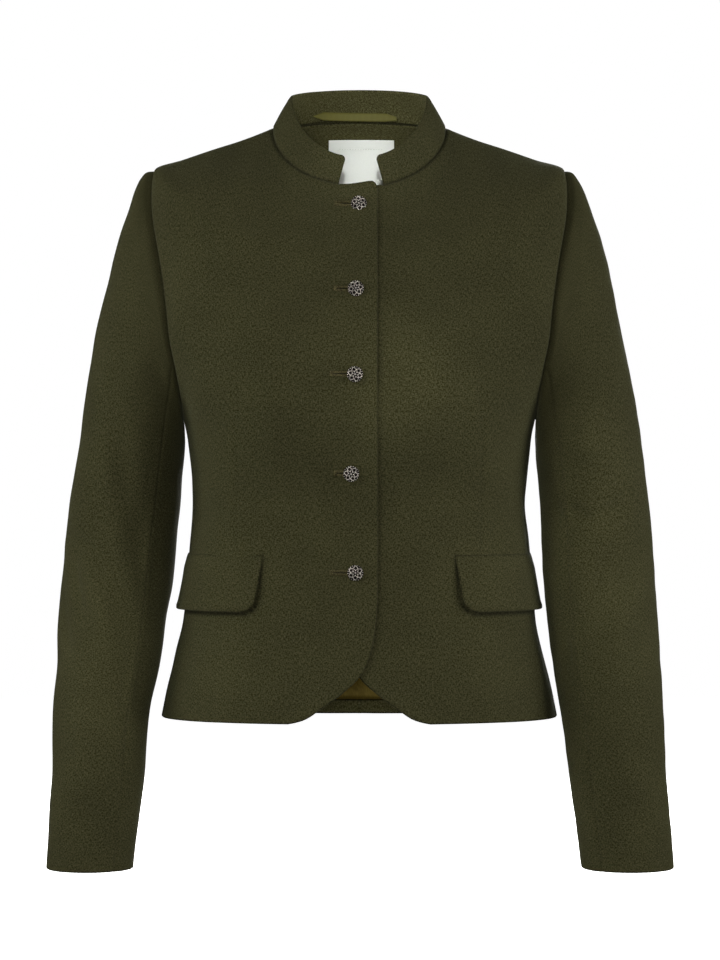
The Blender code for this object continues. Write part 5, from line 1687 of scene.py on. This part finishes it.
def makeButtonholes():
    stitches, slitShadows = bmesh.new(), bmesh.new()
    random = np.random.RandomState(5)

    def onCloth(x, z, rise):
        point, normal = onTopFront(x, z)
        return point + normal * rise

    for (z, x), end in zip(button["places"], buttonhole["ends"]):
        start = x - buttonhole["behind"]
        # The cut opens a little where the shank pulls at it.
        for place in np.arange(start, end, buttonhole["pitch"]):
            middle = z + buttonhole["slope"] * (place - x)
            stretch = buttonhole["closed"] + hump(place - x, *buttonhole["openest"])
            near = buttonhole["open"] * stretch
            for way in (1, -1):
                far = near + buttonhole["lip"] * random.uniform(*buttonhole["lipSpread"])
                ends = []
                for height, rise in zip((near, far), buttonhole["rises"]):
                    sway = random.uniform(-buttonhole["sway"], buttonhole["sway"])
                    ends.append(onCloth(place + sway, middle + way * height, rise))
                rodMesh(stitches, ends, *buttonhole["thread"])
        first, lift = barTack["offset"]
        for k in range(barTack["stitches"]):
            ends = []
            for way in (-1, 1):
                height = way * barTack["half"] * random.uniform(*barTack["halfSpread"])
                ends.append(onCloth(end + barTack["pitch"] * k + first, z + height + lift,
                                    barTack["rises"][k % 2]))
            rodMesh(stitches, ends, *barTack["thread"])
        # A dark tube along the cut is its painted shadow.
        radius, rise = buttonhole["slit"]
        line = [onCloth(place, z + buttonhole["slope"] * (place - x), rise)
                for place in np.linspace(start, end, 30)]
        tube(slitShadows, line, radius, 6)
    pieceFromForm("buttonholeStitches", stitches, threadFinish, mirrored=True)
    pieceFromForm("buttonholeSlitShadows", slitShadows, paintedShadowFinish, mirrored=True)


makeButtons()
makeButtonholes()
print("buttons and buttonholes made")


# Camera, floor and light

studio = {
    "camera": (0.0006, -3.0, -0.316),
    "lens": 125.0,
    "sensor": 36.0,
    "farthest": 60.0,
    "floor": (12.0, -0.90),        # width, and height under the jacket, in metres
    "floorTones": (0.84, 0.86),
    "floorClouds": (0.5, 1.0),     # size and detail
    # Soft lamps: place, size, power, how wide they spread in degrees, and what they are turned to
    "lamps": (
        ("keyLamp", (-1.9, -2.0, 1.2), (0.6, 0.5), 1.36, 33.0, (0.0, 0.0, -0.38)),
        ("frontLamp", (-0.2, -3.3, 0.55), (1.2, 0.8), 0.7, 60.0, (0.05, 0.0, -0.46)),
        ("levelLamp", (-0.1, -3.3, -0.25), (0.7, 0.6), 3.6, 50.0, (0.0, 0.0, -0.34)),
        ("leftLamp", (-2.8, -0.8, -0.1), (1.4, 2.2), 57.0, 180.0, (0.0, 0.0, -0.3)),
        ("rightLamp", (2.8, -0.8, -0.1), (1.4, 2.2), 86.0, 180.0, (0.0, 0.0, -0.3)),
        ("backLamp", (0.5, 3.3, 0.5), (2.0, 1.8), 150.0, 180.0, (0.0, 0.0, -0.3)),
    ),
    "lampRadius": 0.04,            # of the round lamp and the spotlights
    # A weak round lamp in the hollow shows the lining: place, power
    "insideLamp": ((0.0, 0.0, -0.33), 0.42),
    # Spotlights: place, power, how wide their cone is in degrees, and what they are turned to
    "spots": (
        ("neckSpot", (0.0, -3.3, 0.0), 262.0, 2.2, (0.002, 0.06, -0.028)),
        ("chestSpot", (-0.9, -3.15, -0.1), 190.0, 2.9, (0.052, -0.09, -0.238)),
        ("rightSleeveSpot", (1.2, -3.2, -0.47), 175.0, 4.2, (-0.25, -0.03, -0.47)),
        ("leftSleeveSpot", (-0.8, -3.2, -0.42), 175.0, 5.8, (0.238, -0.03, -0.37)),
    ),
}


def addLamp(kind, name, place, power, target=None, **settings):
    made = addObject(name, bpy.data.lights.new(name, kind))
    made.location = place
    made.data.energy = power
    for label, value in settings.items():
        setattr(made.data, label, value)
    if target:
        aim = Vector(target) - made.location
        made.rotation_euler = aim.to_track_quat("-Z", "Y").to_euler()
    made.visible_camera = False


def makeFloor():
    width, height = studio["floor"]
    finish = Finish("paleFloor", Roughness=0.9, Specular_IOR_Level=0.0)
    finish.shader.inputs["Emission Strength"].default_value = 1.0
    finish.shader.inputs["Emission Color"].default_value = (1.0, 1.0, 1.0, 1.0)
    cloud = finish.noise(finish.place("Object"), *studio["floorClouds"])
    finish.connect(Base_Color=finish.mix(cloud, *((tone, tone, tone) for tone in studio["floorTones"])))
    form = bmesh.new()
    bmesh.ops.create_circle(form, cap_ends=True, segments=96, radius=width / 2)
    floor = addObject("floor", meshOf("floor", form, finish.material))
    floor.location = (0.0, 0.0, height)
    floor.visible_diffuse = False
    floor.visible_glossy = False


def makeStudio():
    scene = bpy.context.scene
    camera = addObject("camera", bpy.data.cameras.new("camera"))
    camera.location = studio["camera"]
    camera.rotation_euler = (math.radians(90.0), 0.0, 0.0)
    camera.data.lens = studio["lens"]
    camera.data.sensor_width = studio["sensor"]
    camera.data.clip_end = studio["farthest"]
    scene.camera = camera
    for name, place, (wide, tall), power, spread, target in studio["lamps"]:
        addLamp("AREA", name, place, power, target, shape="RECTANGLE", size=wide, size_y=tall,
                spread=math.radians(spread))
    place, power = studio["insideLamp"]
    addLamp("POINT", "insideLamp", place, power, shadow_soft_size=studio["lampRadius"])
    for name, place, power, cone, target in studio["spots"]:
        addLamp("SPOT", name, place, power, target, spot_size=math.radians(cone), spot_blend=1.0,
                shadow_soft_size=studio["lampRadius"])
    makeFloor()
    world = bpy.data.worlds.new("paleStudio")
    world.use_nodes = True
    world.node_tree.nodes["Background"].inputs["Color"].default_value = (1.0, 1.0, 1.0, 1.0)
    world.node_tree.nodes["Background"].inputs["Strength"].default_value = 1.0
    world.cycles_visibility.diffuse = False
    world.cycles_visibility.glossy = False
    scene.world = world
    scene.view_settings.view_transform = "Standard"


makeStudio()
print("studio made")
